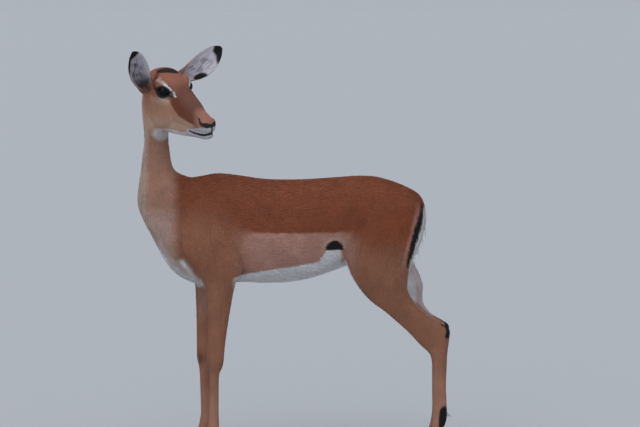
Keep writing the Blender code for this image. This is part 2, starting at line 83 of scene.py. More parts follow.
# %% Head frame and the frame's shift
LEFT, RIGHT = -1, 1  # the sign of Y on each side of her
SIDES = (LEFT, RIGHT)
HEAD_SIDES = (-1, 1)  # her right and her left, as the sign of Y in the head's own frame
HEAD_PLACE = Vector((-0.3185, -0.090, 1.0105))
HEAD_TURN = math.radians(-50)
HEAD_PITCH = math.radians(3)
HEAD_ROLL = math.radians(9)
HEAD = (
    Matrix.Translation(HEAD_PLACE)
    @ Matrix.Rotation(HEAD_TURN, 4, "Z")
    @ Matrix.Rotation(HEAD_PITCH, 4, "Y")
    @ Matrix.Rotation(HEAD_ROLL, 4, "X")
)
EYE_RADIUS = 0.0195
EYE_PLACE = Vector((0.000, 0.0388, 0.006))  # the left one, in the head's frame
BROW_TURN = math.radians(24)  # how far the brows' front ends come together
EYE_LOOKS = math.radians(32)  # forward of straight out

eye_low, eye_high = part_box("eye_left")
SHIFT = (eye_low + eye_high) / 2 - HEAD @ EYE_PLACE
print("her coordinates are moved by", [round(v, 4) for v in SHIFT])


def side_name(side):
    return "left" if side == LEFT else "right"


def in_head(points):
    """Points in her coordinates, as seen in the head's frame."""
    inverse = np.array(HEAD.inverted())
    return points @ inverse[:3, :3].T + inverse[:3, 3]


def turned_to_head(vectors):
    """Directions in her coordinates, as seen in the head's frame."""
    return vectors @ np.array(HEAD)[:3, :3]


def out_of_head(points):
    """Points in the head's frame, as seen in her coordinates."""
    matrix = np.array(HEAD)
    return points @ matrix[:3, :3].T + matrix[:3, 3]


# %% [markdown]
# ## Lofts
# Flesh has few straight edges, and its outline is what the eye checks first. A loft takes the outline
# as a table of stations and draws a rounded ring at each one, so the table can be read off the side view
# of a real ewe. The alternative, pushing a sphere about by hand, hides those numbers.

# %% Rings and lofts
RING_SIDES = 96
RING_STEPS = 8


def interpolated(rows, steps=RING_STEPS):
    """Catmull-Rom through the rows of a table, each column on its own."""
    rows = np.asarray(rows, float)
    padded = np.vstack([2 * rows[0] - rows[1], rows, 2 * rows[-1] - rows[-2]])
    out = []
    for i in range(1, len(padded) - 2):
        p0, p1, p2, p3 = padded[i - 1 : i + 3]
        for t in np.arange(steps) / steps:
            line = (p2 - p0) * t
            curve = (2 * p0 - 5 * p1 + 4 * p2 - p3) * t**2
            cube = (3 * p1 - p0 - 3 * p2 + p3) * t**3
            out.append(0.5 * (2 * p1 + line + curve + cube))
    out.append(rows[-1])
    return np.array(out)


def ring(front, back, side, half, widest, power):
    """Points round a superellipse from its front and back points, its side axis and its half width."""
    centre = back + (front - back) * widest
    angle = np.arange(RING_SIDES) * 2 * math.pi / RING_SIDES
    across = np.sign(np.cos(angle)) * np.abs(np.cos(angle)) ** (2 / power)
    along = np.sign(np.sin(angle)) * np.abs(np.sin(angle)) ** (2 / power)
    reach = np.where(along[:, None] > 0, front - centre, centre - back)
    return centre + np.outer(across * half, side) + along[:, None] * reach


def walls(bm, rings):
    """Joins each ring of vertices to the next with quads."""
    count = len(rings[0])
    for lower, upper in zip(rings, rings[1:]):
        for k in range(count):
            n = (k + 1) % count
            bm.faces.new((lower[k], lower[n], upper[n], upper[k]))


def loft(bm, stations, side=(0, 1, 0), power=2.0):
    """Adds a closed tube. A station is (front xyz, back xyz, half width, widest from back to front).

    A side axis of zeros lets each ring lie level, square to its own line from back to front."""
    table = interpolated([[*f, *b, half, widest] for f, b, half, widest in stations])
    rings = []
    for row in table:
        front, back = row[:3], row[3:6]
        axis = np.asarray(side, float)
        if not axis.any():
            axis = np.cross((0, 0, 1), front - back)
            axis = axis / np.linalg.norm(axis)
        rings.append([bm.verts.new(p) for p in ring(front, back, axis, row[6], row[7], power)])
    walls(bm, rings)
    bm.faces.new(rings[0][::-1])
    bm.faces.new(rings[-1])


def ellipsoid(bm, centre, radii, turn=0.0, tilt=0.0):
    """Adds an ellipsoid, turned about Z and then tilted about Y."""
    turned = Matrix.Rotation(turn, 4, "Z") @ Matrix.Rotation(tilt, 4, "Y")
    place = Matrix.Translation(centre) @ turned @ Matrix.Diagonal((*radii, 1))
    bmesh.ops.create_icosphere(bm, subdivisions=5, radius=1.0, matrix=place)


# %% [markdown]
# ## The body's forms
# The trunk is one barrel from the chest to the rump, the neck a tube that turns to her left as it
# rises, and each leg a tube whose stations follow the bones under it: shoulder, elbow, knee and fetlock in
# front, thigh, stifle, hock and fetlock behind. They overlap freely, because they are fused later.

# %% Trunk, neck and tail
TRUNK = (  # x, top z, bottom z, half width, height of the widest line
    (0.372, 0.698, 0.610, 0.022, 0.50),
    (0.358, 0.722, 0.580, 0.046, 0.50),
    (0.330, 0.740, 0.560, 0.066, 0.50),
    (0.290, 0.757, 0.552, 0.083, 0.50),
    (0.240, 0.771, 0.545, 0.094, 0.52),
    (0.190, 0.774, 0.534, 0.099, 0.50),
    (0.140, 0.771, 0.516, 0.105, 0.48),
    (0.080, 0.767, 0.495, 0.113, 0.46),
    (0.010, 0.764, 0.479, 0.118, 0.45),
    (-0.070, 0.766, 0.4755, 0.117, 0.45),
    (-0.140, 0.776, 0.478, 0.109, 0.45),
    (-0.200, 0.782, 0.474, 0.098, 0.44),
    (-0.250, 0.774, 0.473, 0.090, 0.44),
    (-0.300, 0.766, 0.490, 0.082, 0.44),
    (-0.340, 0.758, 0.527, 0.072, 0.45),
    (-0.375, 0.745, 0.590, 0.060, 0.46),
    (-0.402, 0.730, 0.645, 0.044, 0.48),
    (-0.416, 0.712, 0.680, 0.020, 0.50),
)
NECK = (  # throat point, nape point, half width, widest line, from the withers up
    ((-0.395, 0.000, 0.625), (-0.190, 0.000, 0.762), 0.074, 0.5),
    ((-0.422, 0.000, 0.690), (-0.262, 0.000, 0.768), 0.066, 0.5),
    ((-0.420, -0.002, 0.745), (-0.313, 0.002, 0.786), 0.053, 0.5),
    ((-0.411, -0.014, 0.792), (-0.330, 0.014, 0.815), 0.041, 0.5),
    ((-0.401, -0.028, 0.845), (-0.338, 0.018, 0.850), 0.033, 0.5),
    ((-0.379, -0.053, 0.895), (-0.360, 0.021, 0.900), 0.034, 0.5),
    ((-0.358, -0.062, 0.945), (-0.387, 0.010, 0.955), 0.035, 0.5),
    ((-0.352, -0.066, 0.985), (-0.392, -0.006, 1.000), 0.034, 0.5),
    ((-0.356, -0.064, 1.005), (-0.380, -0.024, 1.024), 0.024, 0.5),
)
TAIL = (  # z, front x, back x, half width: the flesh alone, under its long hair
    (0.715, 0.345, 0.366, 0.010),
    (0.690, 0.348, 0.3750, 0.0120),
    (0.650, 0.348, 0.3790, 0.0135),
    (0.610, 0.340, 0.3720, 0.0140),
    (0.570, 0.330, 0.3590, 0.0130),
    (0.545, 0.324, 0.3470, 0.0090),
)


def body_forms(bm):
    loft(bm, [((x, 0, top), (x, 0, low), half, wide) for x, top, low, half, wide in TRUNK], power=2.1)
    loft(bm, NECK, side=(0, 0, 0))
    loft(bm, [((fx, 0, z), (bx, 0, z), half, 0.5) for z, fx, bx, half in TAIL])


print("stations of the trunk, neck and tail:", len(TRUNK), len(NECK), len(TAIL))

# %% Legs
FORE_STANCE = {LEFT: 0.0, RIGHT: -0.020}
FORE_LEAN = {LEFT: 0.0, RIGHT: -0.009}  # how far ahead of its step a foreleg's forearm is held
HIND_STANCE = {LEFT: 0.0, RIGHT: 0.010}
HIND_UPRIGHT = {LEFT: 0.0, RIGHT: 0.050}  # how far back a straighter leg holds its thigh's end
FORELEG = (  # z, front x, back x, half width, y
    (0.745, -0.232, -0.168, 0.010, 0.046),
    (0.700, -0.270, -0.150, 0.022, 0.062),
    (0.640, -0.305, -0.135, 0.031, 0.072),
    (0.580, -0.305, -0.124, 0.035, 0.078),
    (0.530, -0.276, -0.126, 0.035, 0.080),
    (0.480, -0.2435, -0.152, 0.031, 0.077),
    (0.407, -0.2320, -0.167, 0.0250, 0.073),
    (0.333, -0.2310, -0.1790, 0.0205, 0.070),
    (0.290, -0.2322, -0.1840, 0.0200, 0.068),
    (0.265, -0.2328, -0.1860, 0.0205, 0.067),
    (0.245, -0.2300, -0.1910, 0.0180, 0.066),
    (0.225, -0.2272, -0.1985, 0.0140, 0.066),
    (0.160, -0.2272, -0.1995, 0.0120, 0.065),
    (0.110, -0.2280, -0.1995, 0.0125, 0.065),
    (0.086, -0.2310, -0.1985, 0.0165, 0.065),
    (0.065, -0.2360, -0.2050, 0.0160, 0.065),
    (0.046, -0.2460, -0.2150, 0.0160, 0.065),
    (0.018, -0.2585, -0.2230, 0.0170, 0.065),
)
HINDLEG = (  # front x, its z, back x, its z, half width, y
    (0.190, 0.745, 0.320, 0.725, 0.028, 0.046),
    (0.150, 0.690, 0.358, 0.690, 0.044, 0.053),
    (0.140, 0.625, 0.368, 0.645, 0.049, 0.057),
    (0.145, 0.562, 0.354, 0.585, 0.047, 0.062),
    (0.163, 0.503, 0.334, 0.533, 0.042, 0.068),
    (0.193, 0.457, 0.3235, 0.495, 0.036, 0.073),
    (0.223, 0.426, 0.3235, 0.461, 0.030, 0.075),
    (0.256, 0.402, 0.3365, 0.434, 0.0255, 0.074),
    (0.290, 0.373, 0.3570, 0.409, 0.0220, 0.071),
    (0.324, 0.342, 0.3860, 0.384, 0.0195, 0.067),
    (0.357, 0.307, 0.4180, 0.366, 0.0185, 0.063),
    (0.383, 0.282, 0.4390, 0.350, 0.0190, 0.060),
    (0.389, 0.262, 0.4390, 0.328, 0.0195, 0.060),
    (0.3905, 0.243, 0.4335, 0.285, 0.0180, 0.060),
    (0.3905, 0.225, 0.4315, 0.243, 0.0145, 0.060),
    (0.3905, 0.180, 0.4300, 0.185, 0.0125, 0.060),
    (0.3910, 0.115, 0.4330, 0.115, 0.0130, 0.060),
    (0.3880, 0.086, 0.4280, 0.086, 0.0165, 0.060),
    (0.3830, 0.065, 0.4150, 0.065, 0.0160, 0.060),
    (0.3735, 0.046, 0.4050, 0.046, 0.0160, 0.060),
    (0.3610, 0.018, 0.3970, 0.018, 0.0170, 0.060),
)


def stance(z, side, behind):
    """How far a leg's own step moves it along X at height z."""
    if behind:
        straighter = HIND_UPRIGHT[side] * np.exp(-(((z - 0.468) / 0.055) ** 2))
        return HIND_STANCE[side] * np.clip((0.62 - z) / 0.33, 0, 1) + straighter
    ahead = FORE_STANCE[side] + FORE_LEAN[side] * np.clip((z - 0.10) / 0.25, 0, 1)
    return ahead * np.clip((0.60 - z) / 0.15, 0, 1)


def leg_forms(bm, side):
    rows = []
    for z, front, back, half, y in FORELEG:
        ahead = stance(z, side, behind=False)
        rows.append(((front + ahead, side * y, z), (back + ahead, side * y, z), half, 0.5))
    loft(bm, rows)
    rows = []
    for fx, fz, bx, bz, half, y in HINDLEG:
        front = (fx + stance(fz, side, behind=True), side * y, fz)
        back = (bx + stance(bz, side, behind=True), side * y, bz)
        rows.append((front, back, half, 0.5))
    loft(bm, rows)


print("stations of a foreleg and a hind leg:", len(FORELEG), len(HINDLEG))

# %% [markdown]
# ## The head's forms
# An impala's head is a long wedge. The bridge of the nose drops at half a right angle, the jaw runs
# almost level, and the muzzle is small and neat. Ellipsoids add the cheek muscle, the socket that carries
# the eye out to the side, the brow over it and the wing of the nostril.

# %% Skull, jaw and cheeks
SKULL = (  # x, top z, bottom z, half width, widest line
    (-0.100, 0.026, -0.040, 0.020, 0.50),
    (-0.088, 0.046, -0.066, 0.032, 0.55),
    (-0.070, 0.058, -0.084, 0.044, 0.60),
    (-0.048, 0.062, -0.096, 0.0510, 0.64),
    (-0.022, 0.057, -0.102, 0.0505, 0.68),
    (0.004, 0.040, -0.106, 0.0460, 0.74),
    (0.028, 0.020, -0.107, 0.0375, 0.72),
    (0.055, -0.0015, -0.108, 0.0310, 0.66),
    (0.082, -0.0225, -0.108, 0.0275, 0.58),
    (0.104, -0.0435, -0.108, 0.0220, 0.50),
    (0.119, -0.0560, -0.108, 0.0222, 0.50),
    (0.1315, -0.0655, -0.107, 0.0215, 0.55),
    (0.1395, -0.0765, -0.103, 0.0160, 0.55),
    (0.1435, -0.0860, -0.098, 0.0080, 0.50),
)
JAW = (  # x, top z, bottom z, half width
    (-0.066, -0.060, -0.092, 0.020),
    (-0.045, -0.050, -0.1110, 0.034),
    (-0.010, -0.050, -0.1180, 0.0365),
    (0.030, -0.060, -0.1215, 0.0315),
    (0.060, -0.072, -0.1220, 0.0260),
    (0.085, -0.086, -0.1230, 0.0205),
    (0.100, -0.096, -0.1245, 0.0180),
    (0.118, -0.100, -0.1255, 0.0170),
    (0.131, -0.102, -0.1225, 0.0140),
    (0.137, -0.105, -0.1160, 0.0075),
)


def head_forms(bm):
    """In the head's own frame."""
    loft(bm, [((x, 0, top), (x, 0, low), half, wide) for x, top, low, half, wide in SKULL], power=2.5)
    loft(bm, [((x, 0, top), (x, 0, low), half, 0.5) for x, top, low, half in JAW], power=2.2)
    ellipsoid(bm, (-0.080, 0, -0.008), (0.032, 0.030, 0.047))
    for b in HEAD_SIDES:
        ellipsoid(bm, (-0.032, b * 0.025, -0.052), (0.060, 0.0255, 0.050), tilt=math.radians(20))
        ellipsoid(bm, (0.003, b * 0.0420, 0.002), (0.033, 0.0195, 0.0255))
        brow = (0.010, b * 0.0425, 0.0200)
        ellipsoid(bm, brow, (0.034, 0.0135, 0.0145), turn=-b * BROW_TURN, tilt=math.radians(30))
        ellipsoid(bm, (0.1255, b * 0.0125, -0.0805), (0.0170, 0.0125, 0.0145), tilt=math.radians(35))


print("stations of the skull and jaw:", len(SKULL), len(JAW))

# %% [markdown]
# ## The ears
# An ear is a leaf-shaped cup, rolled almost shut at its root. Its edge would be lost in a voxel remesh,
# so it is modelled too thick on purpose and thinned again afterwards, by moving each point towards the
# middle of the cup's wall. Ears swivel, so each has its own aim and opens its own way.

# %% Ear cups
EAR_ROOT = {LEFT: Vector((-0.056, 0.048, 0.014)), RIGHT: Vector((-0.059, -0.0355, -0.009))}
EAR_AIM = {LEFT: Vector((0.793, 0.230, 0.563)), RIGHT: Vector((-0.298, -0.640, 0.727))}
EAR_OPENS = {LEFT: Vector((0.27, -0.95, -0.07)), RIGHT: Vector((0.62, -0.66, -0.30))}
EAR_LENGTH = 0.166
EAR_BULGE = {LEFT: 0.010, RIGHT: 0.005}  # how far its middle bows outward
EAR_CLAY = 0.0060  # wall while it is fused
EAR_GATHER = 0.010  # how far the rolled base is drawn in towards the ear's root
EAR_STUMP = (  # place along the ear, half width, how far behind the ear's axis
    (-0.035, 0.0060, 0.002),
    (-0.018, 0.0095, 0.003),
    (0.000, 0.0130, 0.005),
    (0.014, 0.0160, 0.007),
    (0.021, 0.0140, 0.008),
)
EAR_SHAPE = interpolated(
    (  # share of the length, half width, half angle of the cup in degrees
        (0.00, 0.0145, 168.0),
        (0.12, 0.0155, 160.0),
        (0.25, 0.0195, 126.0),
        (0.38, 0.0262, 96.0),
        (0.52, 0.0322, 72.0),
        (0.66, 0.0330, 56.0),
        (0.80, 0.0282, 46.0),
        (0.92, 0.0178, 40.0),
        (1.00, 0.0045, 36.0),
    )
)


def ear_frame(side):
    """Root, aim, the way the cup opens, and the way across it to its outer edge."""
    root = HEAD @ EAR_ROOT[side]
    aim = EAR_AIM[side].normalized()
    opens = (EAR_OPENS[side] - aim * EAR_OPENS[side].dot(aim)).normalized()
    return np.array(root), np.array(aim), np.array(opens), np.array(aim.cross(opens) * -side)


def ear_section(share, side):
    """Half angle and radius of the cup, and the middle of its circle, at shares of the length."""
    root, aim, opens, outward = ear_frame(side)
    half = np.interp(share, EAR_SHAPE[:, 0], EAR_SHAPE[:, 1])
    bend = np.radians(np.interp(share, EAR_SHAPE[:, 0], EAR_SHAPE[:, 2]))
    radius = half / np.sin(np.minimum(bend, math.pi / 2))
    bow = EAR_BULGE[side] * np.sin(math.pi * np.clip(share, 0, 1))
    middle = root + np.outer(share * EAR_LENGTH, aim)
    drawn = radius * np.cos(bend) + EAR_GATHER * (1 - np.clip(share, 0, 1)) ** 3
    middle = middle + np.outer(bow, outward) + np.outer(drawn, opens)
    return bend, radius, middle


def ear_form(bm, side, rows=60, columns=28):
    _, _, opens, outward = ear_frame(side)
    shares = np.linspace(0.03, 0.995, rows)
    bends, radii, middles = ear_section(shares, side)
    rings = []
    for bend, radius, middle in zip(bends, radii, middles):
        rim = bend - 0.3 * EAR_CLAY / radius
        verts = []
        for shell, first in ((0.5, -rim), (-0.5, rim)):
            reach = radius + shell * EAR_CLAY
            for turn in np.linspace(first, -first, columns):
                place = middle + outward * reach * math.sin(turn) - opens * reach * math.cos(turn)
                verts.append(bm.verts.new(place))
        rings.append(verts)
    walls(bm, rings)
    for end in (rings[0], rings[-1]):
        for k in range(columns - 1):
            bm.faces.new((end[k], end[k + 1], end[-2 - k], end[-1 - k]))


def ear_stump(bm, side):
    """The root under the ear, from inside the head to where the cup begins."""
    root, aim, opens, outward = ear_frame(side)
    rows = []
    for reach, half, behind in EAR_STUMP:
        middle = root + aim * reach - opens * behind + outward * 0.002
        rows.append((middle + opens * half, middle - opens * half, half, 0.5))
    loft(bm, rows, side=outward)


print("stations of an ear:", len(EAR_SHAPE))

# %% [markdown]
# ## One skin
# The forms are fused by a voxel remesh, which wraps them all in one closed surface with no seam. A voxel
# has one size, but the head needs far finer detail than the barrel. So the space round the head is
# swollen first, as under a magnifying glass, and put back afterwards: the head gets small voxels from the
# same remesh, and no join has to be hidden in the neck.

# %% The magnifying glass
MAGNIFY = 2.9
MAGNIFY_REACH = 0.125
MAGNIFY_PLACE = np.array(HEAD @ Vector((0.020, 0, -0.030)))
VOXEL = 0.0043


def magnified(points):
    offset = points - MAGNIFY_PLACE
    reach = np.linalg.norm(offset, axis=1, keepdims=True)
    swollen = np.where(reach < MAGNIFY_REACH, MAGNIFY * reach, reach + (MAGNIFY - 1) * MAGNIFY_REACH)
    return MAGNIFY_PLACE + offset * swollen / np.maximum(reach, 1e-9)


def put_back(points):
    offset = points - MAGNIFY_PLACE
    swollen = np.linalg.norm(offset, axis=1, keepdims=True)
    inside = swollen < MAGNIFY * MAGNIFY_REACH
    reach = np.where(inside, swollen / MAGNIFY, swollen - (MAGNIFY - 1) * MAGNIFY_REACH)
    return MAGNIFY_PLACE + offset * reach / np.maximum(swollen, 1e-9)


print("the glass reaches", MAGNIFY_REACH, "m round", MAGNIFY_PLACE.round(3))

# %% Reading and writing a mesh


def read(items, name, columns, kind=float):
    """One property of all the points, edges or triangles of a mesh, a row for each."""
    values = np.empty(len(items) * columns, kind)
    items.foreach_get(name, values)
    return values.reshape(-1, columns)


def points_of(mesh):
    return read(mesh.vertices, "co", 3)


def normals_of(mesh):
    return read(mesh.vertices, "normal", 3)


def edges_of(mesh):
    return read(mesh.edges, "vertices", 2, int)


def triangles_of(mesh):
    mesh.calc_loop_triangles()
    return read(mesh.loop_triangles, "vertices", 3, int)


def set_points(mesh, points):
    mesh.vertices.foreach_set("co", np.ascontiguousarray(points).ravel())
    mesh.update()


def mesh_from(bm, name):
    """A finished bmesh as a mesh."""
    mesh = bpy.data.meshes.new(name)
    bm.to_mesh(mesh)
    bm.free()
    return mesh


def new_object(name, data):
    obj = bpy.data.objects.new(name, data)
    bpy.context.scene.collection.objects.link(obj)
    return obj


# %% Fusing the forms


def fused_clay():
    """All the forms as one mesh, with small voxels on the head."""
    bm = bmesh.new()
    head_forms(bm)
    bm.transform(HEAD)
    body_forms(bm)
    for side in SIDES:
        leg_forms(bm, side)
        ear_form(bm, side)
        ear_stump(bm, side)
    bmesh.ops.recalc_face_normals(bm, faces=bm.faces)
    mesh = mesh_from(bm, "clay")
    set_points(mesh, magnified(points_of(mesh)))
    clay = new_object("clay", mesh)
    remesh = clay.modifiers.new("fuse", "REMESH")
    remesh.mode = "VOXEL"
    remesh.voxel_size = VOXEL
    graph = bpy.context.evaluated_depsgraph_get()
    skin = bpy.data.meshes.new_from_object(clay.evaluated_get(graph))
    bpy.data.objects.remove(clay)
    bpy.data.meshes.remove(mesh)
    set_points(skin, put_back(points_of(skin)))
    return skin


skin = fused_clay()
print("fused skin:", len(skin.vertices), "points,", len(skin.polygons), "faces")

# %% [markdown]
# ## Softening the joins
# Where two forms meet, the remesh leaves a crease. Plain smoothing would take it out and thin the legs
# as well. Taubin's smoothing takes one step in and one slightly longer step out, so creases go and
# thickness stays. The lower legs, all bone and tendon, are softened least.

# %% Smoothing


def step(value, low, high):
    """0 below low, 1 above high and a smooth curve between."""
    share = np.clip((value - low) / (high - low), 0, 1)
    return share * share * (3 - 2 * share)


def relaxed(points, edges, rounds, share, steps=(0.5, -0.52)):
    """Moves each point to and from the middle of its neighbours."""
    count = len(points)
    a, b = edges.T
    valence = np.maximum(np.bincount(a, minlength=count) + np.bincount(b, minlength=count), 1)[:, None]
    share = np.broadcast_to(share, count)[:, None]
    for amount in steps * rounds:
        near = np.empty_like(points)
        for k in range(points.shape[1]):
            near[:, k] = np.bincount(a, points[b, k], count) + np.bincount(b, points[a, k], count)
        points = points + amount * share * (near / valence - points)
    return points


def near_head(points):
    """1 on the head, 0 from the middle of the neck down."""
    return step(points[:, 2], 0.86, 0.93)


BODY_ROUNDS = 22
HEAD_ROUNDS = 60  # more, because the head's voxels are smaller
points = points_of(skin)
softness = np.clip((points[:, 2] - 0.30) / 0.15, 0.25, 1.0)
points = relaxed(points, edges_of(skin), BODY_ROUNDS, softness)
points = relaxed(points, edges_of(skin), HEAD_ROUNDS, near_head(points))
set_points(skin, points)
print("skin smoothed")

# %% [markdown]
# ## Thin ears
# Each point of an ear knows its share of the ear's length and how far it stands outside the middle of
# the cup's wall. Scaling that distance thins the wall and leaves the cup's shape alone.

# %% Thinning the ear walls
EAR_WALL = 0.0022  # wall of the finished ear, before its fur


def ear_place(points, side):
    """Share of the length, turn round the cup as a share of its half angle, and distance off the wall."""
    root, aim, opens, outward = ear_frame(side)
    share = (points - root) @ aim / EAR_LENGTH
    bend, radius, middle = ear_section(share, side)
    x = (points - middle) @ outward
    y = (points - middle) @ opens
    turn = np.arctan2(x, -y) / bend
    return share, turn, np.hypot(x, y) - radius


def of_ear(share, turn, off):
    """Which points belong to the free part of an ear."""
    return (share > 0.13) & (share < 1.05) & (np.abs(turn) < 1.25) & (np.abs(off) < 0.0062)


points = points_of(skin)
for side in SIDES:
    share, turn, off = ear_place(points, side)
    ours = of_ear(share, turn, off)
    keep = 1 + (EAR_WALL / EAR_CLAY - 1) * step(share, 0.13, 0.32)
    keep *= 1 - 0.35 * step(share, 0.75, 1.0)
    _, _, opens, outward = ear_frame(side)
    bend, radius, middle = ear_section(share, side)
    limit = 1.2 - (0.2 + 0.40 * EAR_CLAY / (radius * bend)) * step(share, 0.16, 0.30)
    angle = (np.clip(turn, -limit, limit) * bend)[:, None]
    reach = (radius + off * keep)[:, None]
    place = middle + reach * (np.sin(angle) * outward - np.cos(angle) * opens)
    points[ours] = place[ours]
    print("ear", side_name(side), "points:", int(ours.sum()))
set_points(skin, points)

# %% [markdown]
# ## Room for the coat
# The faceted frame reaches to the tips of the hair. The skin lies inside it by the coat's depth: most
# on the barrel and neck, less on the legs and least on the face and ears.

# %% Coat depth


def coat_depth(points):
    """How far the skin lies under the tips of the hair."""
    depth = 0.0011 + 0.0013 * step(points[:, 2], 0.28, 0.50)
    depth = depth + (0.0008 - depth) * near_head(points)
    for side in SIDES:
        share, turn, off = ear_place(points, side)
        depth = np.where(of_ear(share, turn, off), 0.0, depth)
    return depth


points = points_of(skin)
depth = coat_depth(points)
set_points(skin, points - normals_of(skin) * depth[:, None])
print("coat depth from", round(depth.min() * 1000, 1), "to", round(depth.max() * 1000, 1), "mm")

# %% [markdown]
# ## Finer mesh where the face needs it
# Lids, nostrils and lips are a few millimetres wide. Halving the edges round the eyes and on the muzzle
# gives them enough points to be sculpted, and costs little.

# %% Finer face


def eye_middle(b):
    """Middle of an eyeball in the head's frame; b is 1 for her left and -1 for her right."""
    return np.array((EYE_PLACE.x, b * EYE_PLACE.y, EYE_PLACE.z))


def face_detail(points):
    """Which points lie round the eyes or on the muzzle."""
    local = in_head(points)
    chosen = (local[:, 0] > 0.072) & (local[:, 2] < -0.030) & (points[:, 2] > 0.80)
    for b in HEAD_SIDES:
        chosen |= np.linalg.norm(local - eye_middle(b), axis=1) < 0.036
    return chosen


chosen = face_detail(points_of(skin))
bm = bmesh.new()
bm.from_mesh(skin)
bm.verts.ensure_lookup_table()
edges = [edge for edge in bm.edges if chosen[edge.verts[0].index] and chosen[edge.verts[1].index]]
bmesh.ops.subdivide_edges(bm, edges=edges, cuts=1, use_grid_fill=True)
bm.to_mesh(skin)
bm.free()
skin.update()
points = points_of(skin)
set_points(skin, relaxed(points, edges_of(skin), 3, face_detail(points) * 1.0))
print("skin with finer face:", len(skin.vertices), "points")

# %% [markdown]
# ## Sculpting with paths
# A sculptor draws strokes. Here a stroke is a path through a few named places, and each point of the
# skin learns how far it is from the path and how far along it. A dent or a swelling is then a bell curve
# of that distance, pushed along the skin's own normal.

# %% Strokes


def along_path(points, path):
    """Distance of each point from a path of straight pieces, and the share of its length there."""
    path = np.asarray(path, float)
    lengths = np.linalg.norm(np.diff(path, axis=0), axis=1)
    starts = np.r_[0, np.cumsum(lengths)]
    best = np.full(len(points), np.inf)
    share = np.zeros(len(points))
    for k, length in enumerate(lengths):
        line = path[k + 1] - path[k]
        t = np.clip((points - path[k]) @ line / length**2, 0, 1)
        distance = np.linalg.norm(points - path[k] - t[:, None] * line, axis=1)
        closer = distance < best
        best = np.where(closer, distance, best)
        share = np.where(closer, (starts[k] + t * length) / starts[-1], share)
    return best, share


def beside(local, path):
    """The same for the side of the face, where depth counts for less than the place in the side view."""
    squash = np.array((1.0, 0.35, 1.0))
    return along_path(local * squash, np.array(path) * squash)


def bell(distance, width):
    """1 at distance 0, falling off smoothly to nothing at about twice the width."""
    return np.exp(-((distance / width) ** 2))


def mirrored(path, b):
    """A path of one side of the head, on the side b."""
    return [(x, b * abs(y), z) for x, y, z in path]


def taper(share, ends=0.2):
    """1 along a stroke, fading to 0 at both its ends."""
    return step(share, 0, ends) * step(1 - share, 0, ends)


# %% [markdown]
# ## Eyelids
# The opening between the lids is a curve on the eyeball. Each point near the eye learns how far it lies
# outside that curve, along the ball. Mesh edges that cross the curve are snapped onto it, so the rim is a
# clean line, and the distance from the ball's middle then follows from that number alone: under the
# ball inside the opening, a thick edge at the rim, a crease, and the brow and cheek further out.

# %% Lids round the eyes
LID = 0.0022  # thickness of the lids' edge
OPEN_AHEAD = math.radians(59)  # from the middle of the pupil to the front corner
OPEN_BEHIND = math.radians(56)
OPEN_ABOVE = math.radians(42)
OPEN_BELOW = math.radians(37)
EYE_TILT = math.radians(14)  # front corner lower


def eye_axes(b):
    """The way the eye looks, the way to its front corner and the way up, in the head's frame."""
    look = np.array((math.sin(EYE_LOOKS), b * math.cos(EYE_LOOKS), 0))
    ahead = np.array((math.cos(EYE_LOOKS), -b * math.sin(EYE_LOOKS), 0))
    up = np.array((0.0, 0.0, 1.0))
    corner = ahead * math.cos(EYE_TILT) - up * math.sin(EYE_TILT)
    return look, corner, up * math.cos(EYE_TILT) + ahead * math.sin(EYE_TILT)


def aperture(local, b):
    """How far outside the opening's rim each point lies along the eyeball, its turn and its reach."""
    look, ahead, up = eye_axes(b)
    offset = local - eye_middle(b)
    reach = np.linalg.norm(offset, axis=1)
    off_axis = np.arccos(np.clip(offset @ look / np.maximum(reach, 1e-9), -1, 1))
    turn = np.arctan2(offset @ up, offset @ ahead)
    wide = np.where(np.cos(turn) > 0, OPEN_AHEAD, OPEN_BEHIND)
    high = np.where(np.sin(turn) > 0, OPEN_ABOVE, OPEN_BELOW)
    edge = 1 / np.sqrt((np.cos(turn) / wide) ** 2 + (np.sin(turn) / high) ** 2)
    corner = math.radians(10) * bell(turn + 0.10, 0.22) + math.radians(4) * bell(np.abs(turn) - math.pi, 0.2)
    return (off_axis - edge - corner) * EYE_RADIUS, turn, reach


def snapped(points, edges, gap, near):
    """Moves the nearer end of each edge that crosses the rim onto the crossing."""
    a, b = edges[near[edges[:, 0]] & near[edges[:, 1]]].T
    crosses = gap[a] * gap[b] < 0
    a, b = a[crosses], b[crosses]
    t = gap[a] / (gap[a] - gap[b])
    place = points[a] + t[:, None] * (points[b] - points[a])
    mover = np.where(t < 0.5, a, b)
    order = np.argsort(-np.minimum(t, 1 - t))
    points = points.copy()
    points[mover[order]] = place[order]
    return points, mover


